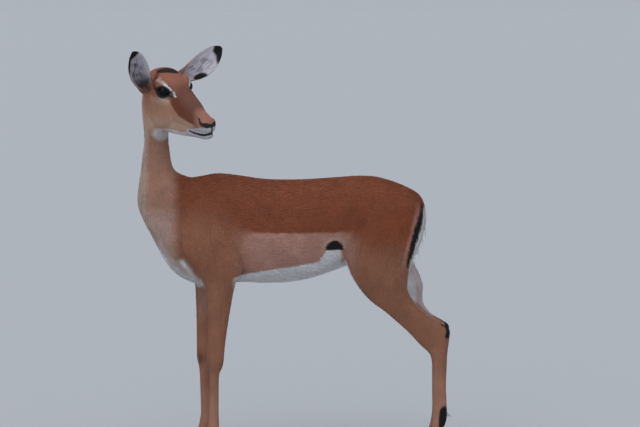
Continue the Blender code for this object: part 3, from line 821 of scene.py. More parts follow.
# %% Shaping the lids
edges = edges_of(skin)
for b in HEAD_SIDES:
    points = points_of(skin)
    gap, turn, reach = aperture(in_head(points), b)
    near = (reach < 0.040) & (gap < 0.020) & (points[:, 2] > 0.9)
    points, moved = snapped(points, edges, gap, near)
    local = in_head(points)
    gap, turn, reach = aperture(local, b)
    gap[moved] = 0.0
    upper = step(np.sin(turn), -0.15, 0.25)
    lid = EYE_RADIUS + 0.0004 + LID * step(gap, -0.0004, 0.0024) * (0.75 + 0.25 * upper)
    crease = 0.0011 * bell(gap - 0.0074, 0.0016) * upper + 0.0006 * bell(gap - 0.0058, 0.0014) * (1 - upper)
    swell = 0.0010 * bell(gap - 0.0042, 0.0020)
    outside = lid + (reach - lid) * step(gap, 0.0022, 0.0135) - crease + swell
    inside = EYE_RADIUS - 0.0030 + 0.25 * gap
    target = np.where(gap < -0.00005, inside, outside)
    spoke = (local - eye_middle(b)) / np.maximum(reach, 1e-6)[:, None]
    facing = np.abs((turned_to_head(normals_of(skin)) * spoke).sum(1))
    share = np.where(gap < 0.0026, 1.0, step(facing, 0.15, 0.60))
    local[near] += (spoke * ((target - reach) * share)[:, None])[near]
    points[near] = out_of_head(local)[near]
    settle = near * step(gap, 0.0026, 0.0060) * (1 - step(gap, 0.0150, 0.0200))
    points = relaxed(points, edges, 8, settle)
    set_points(skin, points)
    print("eye", b, "points moved:", int(near.sum()), "rim points:", len(set(moved.tolist())))

# %% [markdown]
# ## Nose, mouth and face
# The nostril is a comma that curls round its wing, the mouth a shallow line that turns up at its corner,
# and a groove runs from the nose down the middle of the upper lip. The cheek muscle, the hollow of the
# temple and the long bone under the eye are broad, low swellings.

# %% Strokes on the face
NOSTRIL = (
    (0.1135, 0.0195, -0.0640),
    (0.1195, 0.0215, -0.0730),
    (0.1260, 0.0215, -0.0775),
    (0.1340, 0.0185, -0.0805),
    (0.1400, 0.0110, -0.0845),
)
MOUTH = (
    (0.0700, 0.0220, -0.0980),
    (0.0800, 0.0196, -0.1030),
    (0.0932, 0.0165, -0.1067),
    (0.1080, 0.0145, -0.1090),
    (0.1241, 0.0136, -0.1097),
    (0.1340, 0.0070, -0.1078),
    (0.1365, 0.0000, -0.1060),
)
PHILTRUM = ((0.1430, 0.0, -0.0860), (0.1420, 0.0, -0.0980), (0.1365, 0.0, -0.1065))
FACE_BONE = ((0.0330, 0.0400, -0.0180), (0.0560, 0.0370, -0.0420), (0.0800, 0.0330, -0.0600))
TEMPLE = ((-0.0350, 0.0480, 0.0230), (-0.0500, 0.0480, 0.0050))
CHEEK_EDGE = ((-0.0100, 0.0500, -0.0250), (0.0120, 0.0440, -0.0500), (0.0200, 0.0400, -0.0800))


def face_relief(local):
    """How far out each point of the head is pushed, in metres."""
    out = np.zeros(len(local))
    for b in HEAD_SIDES:
        ours = step(local[:, 1] * b, -0.001, 0.001)
        nostril = mirrored(NOSTRIL, b)
        distance, share = beside(local, nostril)
        width = 0.0011 + 0.0016 * np.sin(math.pi * np.clip(share, 0, 1)) ** 0.7
        out -= 0.0042 * bell(distance, width) * ours
        wing, _ = along_path(local, [(x - 0.004, y * 1.02, z + 0.0052) for x, y, z in nostril[:4]])
        out += 0.0012 * bell(wing, 0.0034)
        mouth = mirrored(MOUTH, b)
        distance, share = beside(local, mouth)
        out -= 0.0022 * bell(distance, 0.0012) * step(share, 0.0, 0.12) * ours
        lip, share = beside(local, [(x, y, z + 0.0040) for x, y, z in mouth[2:]])
        out += 0.0006 * bell(lip, 0.0030) * taper(share, 0.3) * ours
        distance, share = along_path(local, mirrored(FACE_BONE, b))
        out += 0.0012 * bell(distance, 0.0070) * taper(share, 0.4)
        distance, _ = along_path(local, mirrored(TEMPLE, b))
        out -= 0.0020 * bell(distance, 0.0090)
        distance, share = along_path(local, mirrored(CHEEK_EDGE, b))
        out -= 0.0004 * bell(distance, 0.0070) * taper(share, 0.4)
    distance, _ = along_path(local, PHILTRUM)
    out -= 0.0013 * bell(distance, 0.0010)
    return out


points = points_of(skin)
local = in_head(points)
relief = face_relief(local) * (near_head(points) > 0.5)
set_points(skin, points + normals_of(skin) * relief[:, None])
print("face relief from", round(relief.min() * 1000, 1), "to", round(relief.max() * 1000, 1), "mm")

# %% [markdown]
# ## Muscle and bone under the body's skin
# A ewe in short summer coat shows her shoulder, elbow, flank, stifle, hamstring and hock. Each is a stroke
# in the side view, given as (x, z) places, and worked on the outer face of the body or on both
# faces of a leg.

# %% Strokes on the body
GROOVES = (  # path in the side view, depth, width, both faces of a leg
    (((-0.118, 0.470), (-0.130, 0.520), (-0.138, 0.580), (-0.160, 0.640)), 0.0030, 0.010, False),
    (((-0.300, 0.560), (-0.288, 0.610), (-0.262, 0.660), (-0.240, 0.720)), 0.0020, 0.014, False),
    (((-0.238, 0.500), (-0.205, 0.560), (-0.200, 0.600)), 0.0016, 0.012, False),
    (((0.138, 0.560), (0.150, 0.610), (0.172, 0.660)), 0.0028, 0.012, False),
    (((0.300, 0.700), (0.305, 0.620), (0.298, 0.540)), 0.0016, 0.012, False),
    (((0.338, 0.452), (0.368, 0.412), (0.408, 0.368)), 0.0034, 0.0065, True),
    (((0.408, 0.290), (0.4085, 0.200), (0.4090, 0.110)), 0.0016, 0.0032, True),
    (((-0.2080, 0.220), (-0.2085, 0.160), (-0.2085, 0.105)), 0.0014, 0.0032, True),
    (((-0.190, 0.450), (-0.192, 0.380), (-0.196, 0.300)), 0.0014, 0.0050, True),
)
SWELLINGS = (
    (((-0.200, 0.700), (-0.225, 0.630), (-0.255, 0.560)), 0.0030, 0.026, False),
    (((-0.165, 0.590), (-0.152, 0.520), (-0.165, 0.470)), 0.0030, 0.018, False),
    (((0.165, 0.745), (0.195, 0.725), (0.225, 0.690)), 0.0028, 0.018, False),
    (((0.185, 0.560), (0.205, 0.490), (0.230, 0.445)), 0.0024, 0.022, False),
    (((0.426, 0.360), (0.414, 0.300)), 0.0012, 0.009, True),
    (((-0.2120, 0.285), (-0.2120, 0.235)), 0.0012, 0.010, True),
)


def body_relief(points, normals):
    """How far out each point of the body is pushed, in metres."""
    flat = points * (1, 0, 1)
    side = np.where(points[:, 1] < 0, LEFT, RIGHT)
    out = np.zeros(len(points))
    outer = step(normals[:, 1] * side, 0.1, 0.6)
    both = step(np.abs(normals[:, 1]), 0.1, 0.6)
    for sign, strokes in ((-1, GROOVES), (1, SWELLINGS)):
        for path, depth, width, faces in strokes:
            for one in SIDES:
                behind = path[0][0] > 0.1
                moved = [(x + float(stance(z, one, behind)), 0, z) for x, z in path]
                distance, share = along_path(flat, moved)
                amount = depth * bell(distance, width) * (side == one)
                out += sign * amount * (both if faces else outer) * taper(share, 0.3)
    return out


def band(value, low, high, soft=0.02):
    """1 between low and high, with soft edges."""
    return step(value, low - soft, low + soft) * (1 - step(value, high - soft, high + soft))


points = points_of(skin)
normals = normals_of(skin)
off_head = (1 - near_head(points)) * (np.abs(points[:, 1]) > 0.012)
relief = body_relief(points, normals) * off_head
set_points(skin, points + normals * relief[:, None])
print("body relief from", round(relief.min() * 1000, 1), "to", round(relief.max() * 1000, 1), "mm")

# %% [markdown]
# ## Her colours
# Every colour is written once, as linear light, and named for where it lies on an impala. The saddle is
# a dark red-brown, the flank band a paler fawn, and the belly white. The markings are rules about places
# on her body, so the skin and every tuft of hair can ask for the colour at their own place and agree.

# %% Palette and helpers
SADDLE = (0.258, 0.070, 0.029)
SHOULDER = (0.330, 0.134, 0.076)
FLANK = (0.500, 0.262, 0.204)
THIGH = (0.312, 0.132, 0.076)
LEG = (0.355, 0.155, 0.090)
SHANK = (0.435, 0.215, 0.142)
NECK_COLOUR = (0.425, 0.220, 0.150)
THROAT = (0.580, 0.420, 0.350)
WHITE = (0.800, 0.785, 0.800)
CREAM = (0.660, 0.540, 0.450)
PALE = (0.680, 0.570, 0.560)
BLACK = (0.010, 0.009, 0.009)
DARK_BROWN = (0.085, 0.032, 0.020)
FOREHEAD = (0.390, 0.150, 0.095)
CHEEK = (0.505, 0.265, 0.168)
STREAK = (0.225, 0.062, 0.028)
# The bridge's own brown, darkened with painted shade where the face turns away from the light.
SHADED_BRIDGE = (0.200, 0.078, 0.052)
MUZZLE = (0.470, 0.210, 0.155)
# Lips and chin: white hair, painted grey as painted shade.
LIPS_IN_PAINTED_SHADE = (0.560, 0.530, 0.570)
EAR_BACK = (0.360, 0.150, 0.080)
# Two copies of the inside of an ear, with the left one painted much paler: painted light.
EAR_INSIDE_WITH_PAINTED_LIGHT = {LEFT: (0.900, 0.870, 0.960), RIGHT: (0.640, 0.600, 0.700)}
EAR_DARK = (0.085, 0.055, 0.058)


def mix(base, colour, share):
    """The base colour turned towards another by a share that changes over the surface."""
    share = np.clip(share, 0, 1)[:, None]
    return base * (1 - share) + np.asarray(colour) * share


def wander(points, size, seed):
    """A smooth uneven field between -1 and 1, for borders that waver and coats that cloud."""
    rng = np.random.default_rng(seed)
    out = np.zeros(len(points))
    for _ in range(6):
        wave = rng.normal(size=3) * 2 * math.pi / size
        out += np.sin(points @ wave + rng.uniform(0, 2 * math.pi))
    return out / 3.5


# %% [markdown]
# ## Markings of the body
# An impala's colours meet in lines that follow her form: the saddle's edge on the flank, the belly line, the
# stripe down each buttock. Painted textures could hold them, but they need seams. Rules about height,
# place and facing need none, and they are worked out as finely as there are points to ask for them.

# %% Places on the body
BELLY_LINE = (  # x, z where the white belly begins
    (-0.200, 0.490),
    (-0.130, 0.505),
    (-0.055, 0.520),
    (0.012, 0.530),
    (0.056, 0.536),
    (0.076, 0.543),
    (0.088, 0.560),
    (0.096, 0.574),
    (0.150, 0.574),
)
THIGH_EDGE = (
    (0.1490, 0, 0.538),
    (0.1525, 0, 0.526),
    (0.1655, 0, 0.492),
    (0.1835, 0, 0.462),
    (0.2030, 0, 0.434),
)
HOCK_PATCH = ((0.4200, 0, 0.3665), (0.4300, 0, 0.3610), (0.4350, 0, 0.3500), (0.4350, 0, 0.3330))


def trunk_low(x):
    """Height of the trunk's lowest line."""
    table = np.array(TRUNK)[::-1]
    return np.interp(x, table[:, 0], table[:, 2])


def without_step(points):
    """X with each leg's own step taken away, so that one rule serves both sides."""
    x, y, z = points.T
    hind = np.where(y < 0, stance(z, LEFT, True), stance(z, RIGHT, True))
    fore = np.where(y < 0, stance(z, LEFT, False), stance(z, RIGHT, False))
    return x - hind * step(x, 0.10, 0.18) - fore * step(-x, 0.12, 0.18)


def rump_stripe(z):
    """X of the black stripe down each buttock."""
    return 0.3203 + 0.2815 * (z - 0.532)


print("places of the belly line and thigh edge:", len(BELLY_LINE), len(THIGH_EDGE))

# %% Browns of the body


def ground_colour(x, y, z, forward):
    """The browns of the body, before any white or black."""
    ahead = step(-x, 0.10, 0.17)
    behind = step(x, 0.12, 0.20)
    lower = mix(np.tile(FLANK, (len(x), 1)), SHOULDER, ahead)
    lower = mix(lower, THIGH, behind)
    # The saddle ends in a level line on the flank, and fades into the shoulder and the thigh.
    soft = 0.005 + 0.050 * step(-x, 0.09, 0.19) + 0.045 * step(x, 0.13, 0.21)
    edge = 0.622 + 0.045 * step(-x, 0.12, 0.22) - 0.050 * step(x, 0.15, 0.24)
    out = mix(lower, SADDLE, step(z, edge - soft, edge + soft))
    out = mix(out, NECK_COLOUR, step(z, 0.770, 0.815) * step(-x, 0.24, 0.28))
    out = mix(out, NECK_COLOUR, step(-x, 0.300, 0.335) * step(z, 0.50, 0.56))
    out = mix(out, PALE, step(-x, 0.305, 0.345) * band(z, 0.52, 0.68, 0.03) * 0.30)
    throat = step(forward, 0.35, 0.95) * (1 - step(np.abs(y), 0.058, 0.075))
    out = mix(out, THROAT, throat * step(-x, 0.28, 0.34) * step(z, 0.50, 0.60))
    # Legs grow paler downwards.
    fore = step(-x, 0.02, 0.06)
    out = mix(out, LEG, fore * (1 - step(z, 0.44, 0.54)))
    out = mix(out, SHANK, fore * (1 - step(z, 0.10, 0.30)))
    hind = step(x, 0.12, 0.18)
    out = mix(out, LEG, hind * (1 - step(z, 0.34, 0.50)))
    out = mix(out, SHANK, hind * (1 - step(z, 0.16, 0.34)))
    out = mix(out, DARK_BROWN, (1 - step(z, 0.028, 0.040)) * 0.5)
    return mix(out, DARK_BROWN, bell(y, 0.010) * step(z, 0.735, 0.755) * step(x, -0.15, 0.05) * 0.20)


# %% White parts of the body


def white_parts(out, x, y, z, inward, forward):
    """The belly, inner thighs, brisket and rump laid over the browns."""
    # The belly, up to a line on the flank, but not over the thigh's outer face.
    line = np.interp(x, *zip(*BELLY_LINE))
    belly = (1 - step(z, line - 0.003, line + 0.003)) * band(x, -0.155, 0.165, 0.012)
    thigh = step(x, 0.133, 0.143) * step(np.abs(y), 0.050, 0.062)
    out = mix(out, WHITE, belly * (1 - thigh))
    # Between the thighs and round their front edge, and paler down the inner legs.
    hind = step(x, 0.15, 0.20)
    between = step(inward + 0.95 * forward, 0.42, 0.62) * band(z, 0.415, 0.585, 0.012)
    fold = step(z, 0.520, 0.540) * thigh
    out = mix(out, WHITE, between * step(x, 0.10, 0.135) * (1 - fold))
    inner = step(inward, 0.35, 0.80)
    out = mix(out, CREAM, inner * hind * band(z, 0.05, 0.43, 0.03) * 0.15)
    low = 0.43 + 0.045 * step(x, 0.27, 0.32)
    out = mix(out, WHITE, inner * hind * step(z, low - 0.02, low + 0.02) * (1 - step(z, 0.56, 0.60)) * 0.9)
    # Only a faint cream inside the forelegs, which keeps their inner faces dark: painted shade.
    out = mix(out, CREAM, inner * step(-x, 0.15, 0.17) * band(z, 0.38, 0.47, 0.03) * 0.2)
    # The brisket, and a streak up behind each forearm's front edge.
    above = z - trunk_low(x)
    brisket = band(-x, 0.190, 0.362, 0.015) * (1 - step(np.abs(y), 0.060, 0.075)) * step(z, 0.455, 0.470)
    out = mix(out, PALE, brisket * (1 - step(above, 0.016, 0.046)) * step(-x, 0.27, 0.30) * 0.8)
    out = mix(out, WHITE, brisket * (1 - step(above, 0.010, 0.022)) * 0.92)
    place = np.stack((x, 0 * y, z), axis=1)
    armpit, _ = along_path(place, ((-0.302, 0, 0.538), (-0.276, 0, 0.508), (-0.250, 0, 0.478)))
    armpit = bell(armpit, 0.0090) * step(np.abs(y), 0.03, 0.045) * step(forward, 0.0, 0.35)
    out = mix(out, WHITE, armpit)
    # A line down the thigh's front edge, and the pale edge that wraps round behind the gaskin.
    edge, share = along_path(place, THIGH_EDGE)
    edge = (1 - step(edge, 0.0025, 0.0060)) * step(np.abs(y), 0.055, 0.065)
    out = mix(out, WHITE, edge * (1 - 0.5 * step(share, 0.6, 1.0)))
    behind = step(-forward, 0.30, 0.50) * band(z, 0.372, 0.520, 0.010) * step(x, 0.28, 0.31)
    behind *= 1 - step(-inward, 0.10, 0.32)
    out = mix(out, PALE, behind * 0.8)
    # The rump round the tail, down to a thin line behind the thigh.
    off = x - rump_stripe(z)
    out = mix(out, WHITE, step(off, 0.006, 0.010) * band(z, 0.512, 0.704, 0.012))
    seam = step(off, 0.010, 0.020) * band(z, 0.470, 0.530, 0.03) * step(x, 0.30, 0.32)
    out = mix(out, WHITE, seam * step(-forward, 0.5, 0.9) * 0.6)
    # The tail is brown above, with a darker middle line, between white fringes.
    dock = step(x, 0.345, 0.352) * step(-forward, 0.1, 0.5) * band(z, 0.590, 0.725, 0.01)
    out = mix(out, SADDLE, dock * (1 - step(np.abs(y), 0.0015, 0.0040)) * 0.8)
    return mix(out, SADDLE, dock * step(z, 0.680, 0.695))


# %% Black parts of the body


def black_parts(out, x, y, z, inward, forward):
    """The flank patches, rump stripes, hocks and cannons laid over the rest."""
    # The patch before the thigh, flat underneath and round on top.
    dome = np.hypot((x - 0.1180) / 0.0258, (z - 0.5740) / 0.0270)
    outer = step(np.abs(y), 0.045, 0.06)
    # A pale ring over the top of the patch: a painted highlight.
    out = mix(out, CREAM, bell(dome - 1.16, 0.18) * step(z, 0.575, 0.580) * outer * 0.35)
    out = mix(out, BLACK, (1 - step(dome, 0.88, 1.04)) * step(z, 0.5720, 0.5750) * outer)
    # The rump stripe, with a pale line before it.
    off = x - rump_stripe(z)
    out = mix(out, FLANK, bell(off + 0.0140, 0.0050) * band(z, 0.525, 0.69, 0.02) * 0.75)
    width = 0.0082 * np.clip(np.minimum((z - 0.522) / 0.060, (0.702 - z) / 0.045), 0, 1) ** 0.6
    stripe = (1 - step(np.abs(off), width - 0.0015, width + 0.0015)) * (width > 0.0005)
    out = mix(out, BLACK, stripe * step(np.abs(y), 0.016, 0.022))
    # Behind the hock, behind the hind cannon, and a dark mark inside the knee.
    place = np.stack((x, 0 * y, z), axis=1)
    hock, share = along_path(place, HOCK_PATCH)
    reach = 0.0060 + 0.0020 * share
    out = mix(out, BLACK, 1 - step(hock, reach - 0.0010, reach + 0.0012))
    tuft = np.hypot((x - 0.4240) / 0.0175, (z - 0.100) / 0.0390)
    out = mix(out, BLACK, (1 - step(tuft, 0.90, 1.02)) * step(x, 0.38, 0.40))
    knee = bell(np.hypot((z - 0.262) / 0.016, (inward - 0.75) / 0.25), 1.0)
    return mix(out, DARK_BROWN, knee * step(-x, 0.18, 0.19) * step(forward, -0.3, 0.2) * 0.7)


def body_colour(points, normals):
    """The body's colour at places on her, with borders that waver a little."""
    uneven = points + 0.0020 * wander(points, 0.03, 1)[:, None]
    x = without_step(uneven)
    _, y, z = uneven.T
    inward = -normals[:, 1] * np.where(y < 0, LEFT, RIGHT)
    forward = -normals[:, 0]
    out = ground_colour(x, y, z, forward)
    out = white_parts(out, x, y, z, inward, forward)
    return black_parts(out, x, y, z, inward, forward)


# %% [markdown]
# ## Markings of the head
# A white brow over a dark eye, a rufous streak down to the muzzle, a pale cheek and a black crown make the
# face. Each is a path or a border in the side view of the head. The nose pad, the nostrils, the lips' edge
# and the lids are bare black skin, and the same rule that colours them keeps hair off them later.

# %% Places on the head
BROW = (
    (-0.0150, 0.0430, 0.0415),
    (-0.0070, 0.0470, 0.0385),
    (0.0076, 0.0465, 0.0324),
    (0.0160, 0.0425, 0.0254),
    (0.0240, 0.0382, 0.0136),
    (0.0310, 0.0345, 0.0020),
    (0.0392, 0.0309, -0.0075),
)
# The dark line behind the brow is painted shade.
BROW_SHADE = ((-0.0280, 0.0330, 0.0520), (-0.0260, 0.0430, 0.0400), (-0.0240, 0.0490, 0.0213))
STREAK_PATH = (
    (0.0292, 0.0360, -0.0140),
    (0.0475, 0.0321, -0.0387),
    (0.0633, 0.0292, -0.0518),
    (0.0801, 0.0270, -0.0624),
    (0.0910, 0.0243, -0.0747),
)
CHEEK_TOP = (  # how far forward, how high the pale cheek reaches
    (-0.090, 0.010),
    (-0.002, -0.0145),
    (0.0187, -0.0140),
    (0.0260, -0.0290),
    (0.0324, -0.0420),
    (0.0460, -0.0590),
    (0.0657, -0.0690),
    (0.0851, -0.0761),
    (0.1000, -0.0830),
)
JAW_TOP = (  # how far forward, how high the white of the jaw and lips reaches
    (-0.0600, -0.1024),
    (-0.0005, -0.0990),
    (0.0249, -0.1015),
    (0.0426, -0.1055),
    (0.0600, -0.1060),
    (0.0690, -0.0945),
    (0.0818, -0.0945),
    (0.1020, -0.0918),
    (0.1280, -0.0857),
    (0.1425, -0.0870),
)
CROWN = (-0.0235, 0.0150, 0.0320)  # how far forward its middle lies, its half length and half width
CROWN_LEAN = 0.30
EYE_FRONT = ((0.0150, 0.0390, -0.0010), (0.0300, 0.0345, -0.0068))
EYE_REAR = ((-0.0140, 0.0530, 0.0120), (-0.0290, 0.0495, 0.0152))
NOSE_PAD = ((0.1350, 0.0165, -0.0790), (0.1395, 0.0090, -0.0830), (0.1420, 0.0000, -0.0855))


def folded_over(local):
    """Both halves of the head laid on the left one."""
    return np.stack((local[:, 0], np.abs(local[:, 1]), local[:, 2]), axis=1)


print("places of the brow, cheek and jaw:", len(BROW), len(CHEEK_TOP), len(JAW_TOP))

# %% Bare black skin


def dark_skin(local):
    """1 on bare black skin: the nose pad, nostrils, the lips' edge and the lids."""
    folded = folded_over(local)
    distance, share = beside(folded, NOSTRIL)
    wide = 0.0020 + 0.0030 * step(share, 0.05, 0.40)
    out = 1 - step(distance, wide - 0.0005, wide + 0.0007)
    distance, _ = along_path(folded, NOSE_PAD)
    out = np.maximum(out, 1 - step(distance, 0.0046, 0.0060))
    distance, _ = along_path(folded, PHILTRUM)
    out = np.maximum(out, 1 - step(distance, 0.0018, 0.0030))
    distance, share = beside(folded, MOUTH)
    wide = 0.0021 + 0.0008 * step(share, 0.3, 0.7)
    out = np.maximum(out, (1 - step(distance, wide, wide + 0.0012)) * step(share, 0.0, 0.08))
    for corner in (EYE_FRONT, EYE_REAR):
        distance, share = beside(folded, corner)
        out = np.maximum(out, 1 - step(distance, 0.0040 - 0.0028 * share, 0.0052 - 0.0032 * share))
    for b in HEAD_SIDES:
        gap, turn, reach = aperture(local, b)
        rim = 0.0026 + 0.0006 * step(np.sin(turn), -0.2, 0.4)
        out = np.maximum(out, (1 - step(gap, rim - 0.0008, rim + 0.0012)) * (reach < 0.034))
    return out


# %% Colours of the head


def head_colour(local):
    """The head's colour at places in its own frame."""
    uneven = local + 0.0008 * wander(local, 0.012, 2)[:, None]
    folded = folded_over(uneven)
    a, b, c = uneven.T
    out = np.tile(FOREHEAD, (len(a), 1))
    # The bridge and the front of the face: their brown, with painted shade.
    out = mix(out, SHADED_BRIDGE, step(a, 0.005, 0.050) * 0.95)
    out = mix(out, MUZZLE, step(a, 0.090, 0.112) * 0.9)
    # A rufous streak runs from the eye to the muzzle, over a pale cheek.
    distance, _ = beside(folded, STREAK_PATH)
    out = mix(out, STREAK, (1 - step(distance, 0.0085, 0.0190)) * (1 - step(a, 0.088, 0.102)) * 0.9)
    top = np.interp(a, *zip(*CHEEK_TOP))
    cheek = step(top - c, -0.0010, 0.0045) * (1 - step(a, 0.086, 0.104))
    out = mix(out, CHEEK, cheek)
    out = mix(out, CREAM, cheek * step(-c, 0.045, 0.095) * 0.30)
    out = mix(out, FOREHEAD, step(-a, 0.030, 0.055) * step(c, -0.075, -0.020) * 0.55)
    under = bell(np.hypot((a - 0.002) / 0.022, (c + 0.0170) / 0.0080), 1.0)
    out = mix(out, CREAM, under * step(np.abs(b), 0.035, 0.042) * 0.8)
    # A white brow, a dark line of painted shade behind it, and the black crown.
    distance, _ = beside(folded, BROW_SHADE)
    out = mix(out, DARK_BROWN, bell(distance, 0.0060) * 0.85)
    distance, share = beside(folded, BROW)
    width = 0.0034 - 0.0010 * share
    brow = (1 - step(distance, width * 0.75, width * 1.25)) * (0.30 + 0.70 * step(share, 0.20, 0.50))
    brow *= 1 - 0.7 * step(b, 0.0, 0.01) * (1 - step(share, 0.40, 0.60))
    out = mix(out, WHITE, brow)
    crown = 1 - step(np.hypot((a - CROWN[0] - CROWN_LEAN * b) / CROWN[1], b / CROWN[2]), 0.85, 1.06)
    out = mix(out, BLACK, crown * step(c, 0.03, 0.04) * 0.97)
    # White jaw, with the lips and chin in front of it painted grey as painted shade, and the bare black
    # parts.
    jaw = step(np.interp(a, *zip(*JAW_TOP)) - c, -0.0015, 0.0025)
    out = mix(out, WHITE, jaw * (1 - step(a, 0.05, 0.07)) * step(a, -0.045, -0.030) * 0.85)
    out = mix(out, LIPS_IN_PAINTED_SHADE, jaw * step(a, 0.05, 0.07))
    return mix(out, BLACK, dark_skin(local))


# %% [markdown]
# ## Markings of the ears, and the whole
# The back of an ear is rufous with a black tip. The inside is pale, with darker streaks where the hair is
# thin, and a white rim. The left ear's inside is painted much paler and less streaked than the right's,
# which is painted light, and the root of each cup is painted dark, which is painted shade. Ears ask for
# their colours by the share of their length and the turn round the cup, so the pattern follows them
# whichever way they swivel.

# %% Ears


def ear_back(share):
    """The outside of an ear."""
    out = mix(np.tile(EAR_BACK, (len(share), 1)), EAR_DARK, (1 - step(share, 0.18, 0.30)) * 0.4)
    return mix(out, BLACK, step(share, 0.76, 0.84))


def ear_cup(share, turn, side):
    """The inside of one ear: pale, with darker streaks along the middle, white rims, a black tip and painted
    shade at the root.
    """
    right = side == RIGHT
    bent = turn + 0.10 * np.sin(share * 9 + 1) + 0.05 * np.sin(share * 23)
    waves = np.sin(bent * 9 + share * 13) + np.sin(share * 31 - bent * 7)
    waves = waves + 0.9 * np.sin(bent * 26 + share * 11)
    blotches = step(waves, -0.7, 1.2)
    middle = bell(turn - 0.05, 0.52) * band(share, 0.28, 0.78, 0.10)
    # The left ear's inside is painted paler and its streaks weaker than the right's: painted light.
    out = np.tile(EAR_INSIDE_WITH_PAINTED_LIGHT[side], (len(share), 1))
    out = mix(out, EAR_DARK, middle * (0.15 + 0.85 * blotches) * (0.95 if right else 0.60))
    # Painted shade deep in the root of the cup, strong in the right ear and faint in the left.
    out = mix(out, EAR_DARK, (1 - step(share, 0.20, 0.38)) * (0.9 if right else 0.3))
    out = mix(out, WHITE, step(np.abs(turn), 0.66, 0.84) * step(share, 0.28, 0.40))
    tip = 0.84 - (0.17 if right else 0.05) * step(turn, 0.30, 0.80) + 0.05 * step(-turn, 0.2, 0.9)
    out = mix(out, BLACK, step(share, tip - 0.025, tip + 0.025))
    if right:
        return out
    # The left ear has a black spot on its rim as well.
    spot = np.hypot((turn - 0.80) / 0.42, (share - 0.42) / 0.135)
    return mix(out, BLACK, 1 - step(spot, 0.75, 1.1))


def ear_colour(base, points):
    """The ears' colours laid over the rest."""
    for side in SIDES:
        share, turn, off = ear_place(points, side)
        ours = of_ear(share, turn, off) & (share > np.where(off < 0, 0.04, 0.15))
        colour = mix(ear_back(share), ear_cup(share, turn, side), step(-off, -0.0004, 0.0004))
        base = np.where(ours[:, None], colour, base)
    return base


# %% The whole of her
THROAT_PATCH = (-0.356, 0.893)  # x, z of the pale patch under the jaw
SKIN_SHADE = 0.86  # how dark the skin lies between the tufts


def on_face(local):
    """1 on the face, from the eyes forward and down past the chin."""
    return step(local[:, 0], -0.02, 0.02) * step(local[:, 2], -0.160, -0.130)


def coat_colour(points, normals):
    """The colour of hair or skin at places on her."""
    out = body_colour(points, normals)
    local = in_head(points)
    # The head's own markings begin behind the jaw.
    head = np.maximum(step(local[:, 0], -0.105, -0.075), step(points[:, 2], 0.985, 1.010))
    head *= 1 - step(-local[:, 2], 0.100, 0.112) * step(-local[:, 0], 0.025, 0.045)
    out = mix(out, head_colour(local), head * np.maximum(near_head(points), on_face(local)))
    patch = np.hypot((points[:, 0] - THROAT_PATCH[0]) / 1.25, points[:, 2] - THROAT_PATCH[1])
    patch = (1 - step(patch, 0.012, 0.026)) * step(0.4 * normals[:, 0] - normals[:, 1], 0.1, 0.6)
    patch *= step(-local[:, 2], 0.099, 0.106)
    out = mix(out, WHITE, patch * 0.7)
    return ear_colour(out, points)


def bare_skin(points):
    """1 where no hair grows."""
    local = in_head(points)
    out = dark_skin(local)
    for b in HEAD_SIDES:
        gap, _, reach = aperture(local, b)
        out = np.where((gap < 0.0030) & (reach < 0.034), 1.0, out)
    return out * np.maximum(near_head(points), on_face(local))


def store_colour(mesh, name, values):
    """A colour for each point of a mesh, which a material reads by its name."""
    layer = mesh.color_attributes.new(name, "FLOAT_COLOR", "POINT")
    layer.data.foreach_set("color", np.c_[values, np.ones(len(values))].ravel())


def store_value(mesh, name, values):
    layer = mesh.attributes.new(name, "FLOAT", "POINT")
    layer.data.foreach_set("value", np.asarray(values, float))


# %% Colouring the skin
skin_points = points_of(skin)
skin_normals = normals_of(skin)
skin_colour = coat_colour(skin_points, skin_normals)
store_colour(skin, "coat", skin_colour * SKIN_SHADE)
store_value(skin, "bare", bare_skin(skin_points))
print("mean colour of the skin:", skin_colour.mean(0).round(3))

# %% [markdown]
# ## The lie of the coat
# Hair grows back from the nose over the face, down the neck and legs, and back and down over the barrel.
# These few directions are given by region, laid flat on the skin, and then averaged between
# neighbouring points, which turns hard borders into the smooth sweeps of a real coat.

# %% Directions of hair


def flattened(vectors, normals):
    """Vectors laid flat on the skin, of length 1."""
    flat = vectors - normals * (vectors * normals).sum(1)[:, None]
    return flat / np.maximum(np.linalg.norm(flat, axis=1), 1e-9)[:, None]


def coat_flow(points):
    """The way the hair lies at each place, before it is laid flat."""
    x, _, z = points.T
    out = np.tile((1.0, 0.0, -0.30), (len(x), 1))
    out = mix(out, (0.45, 0.0, -0.90), step(-x, 0.14, 0.22) * (1 - step(z, 0.62, 0.76)))
    out = mix(out, (0.30, 0.0, -0.95), step(x, 0.14, 0.22) * (1 - step(z, 0.60, 0.72)))
    out = mix(out, (0.35, 0.0, -0.95), step(x, 0.28, 0.34))
    out = mix(out, (0.15, 0.0, -1.00), step(-x, 0.30, 0.36) * step(z, 0.50, 0.60))
    out = mix(out, (0.20, 0.0, -1.00), step(z, 0.77, 0.82))
    out = mix(out, (0.04, 0.0, -1.00), 1 - step(z, 0.40, 0.50))
    local = in_head(points)
    face = np.tile((-1.0, 0.0, 0.15), (len(x), 1))
    face = mix(face, (-0.90, 0.0, -0.40), 1 - step(local[:, 2], -0.05, 0.0))
    face = face @ np.array(HEAD)[:3, :3].T
    out = mix(out, face, step(local[:, 0], -0.105, -0.070) * near_head(points))
    for side in SIDES:
        share, turn, off = ear_place(points, side)
        _, aim, _, outward = ear_frame(side)
        ear = np.tile(aim, (len(x), 1)) + outward * np.clip(turn * 0.5, -0.5, 0.5)[:, None]
        out = np.where((of_ear(share, turn, off) & (share > 0.14))[:, None], ear, out)
    return out


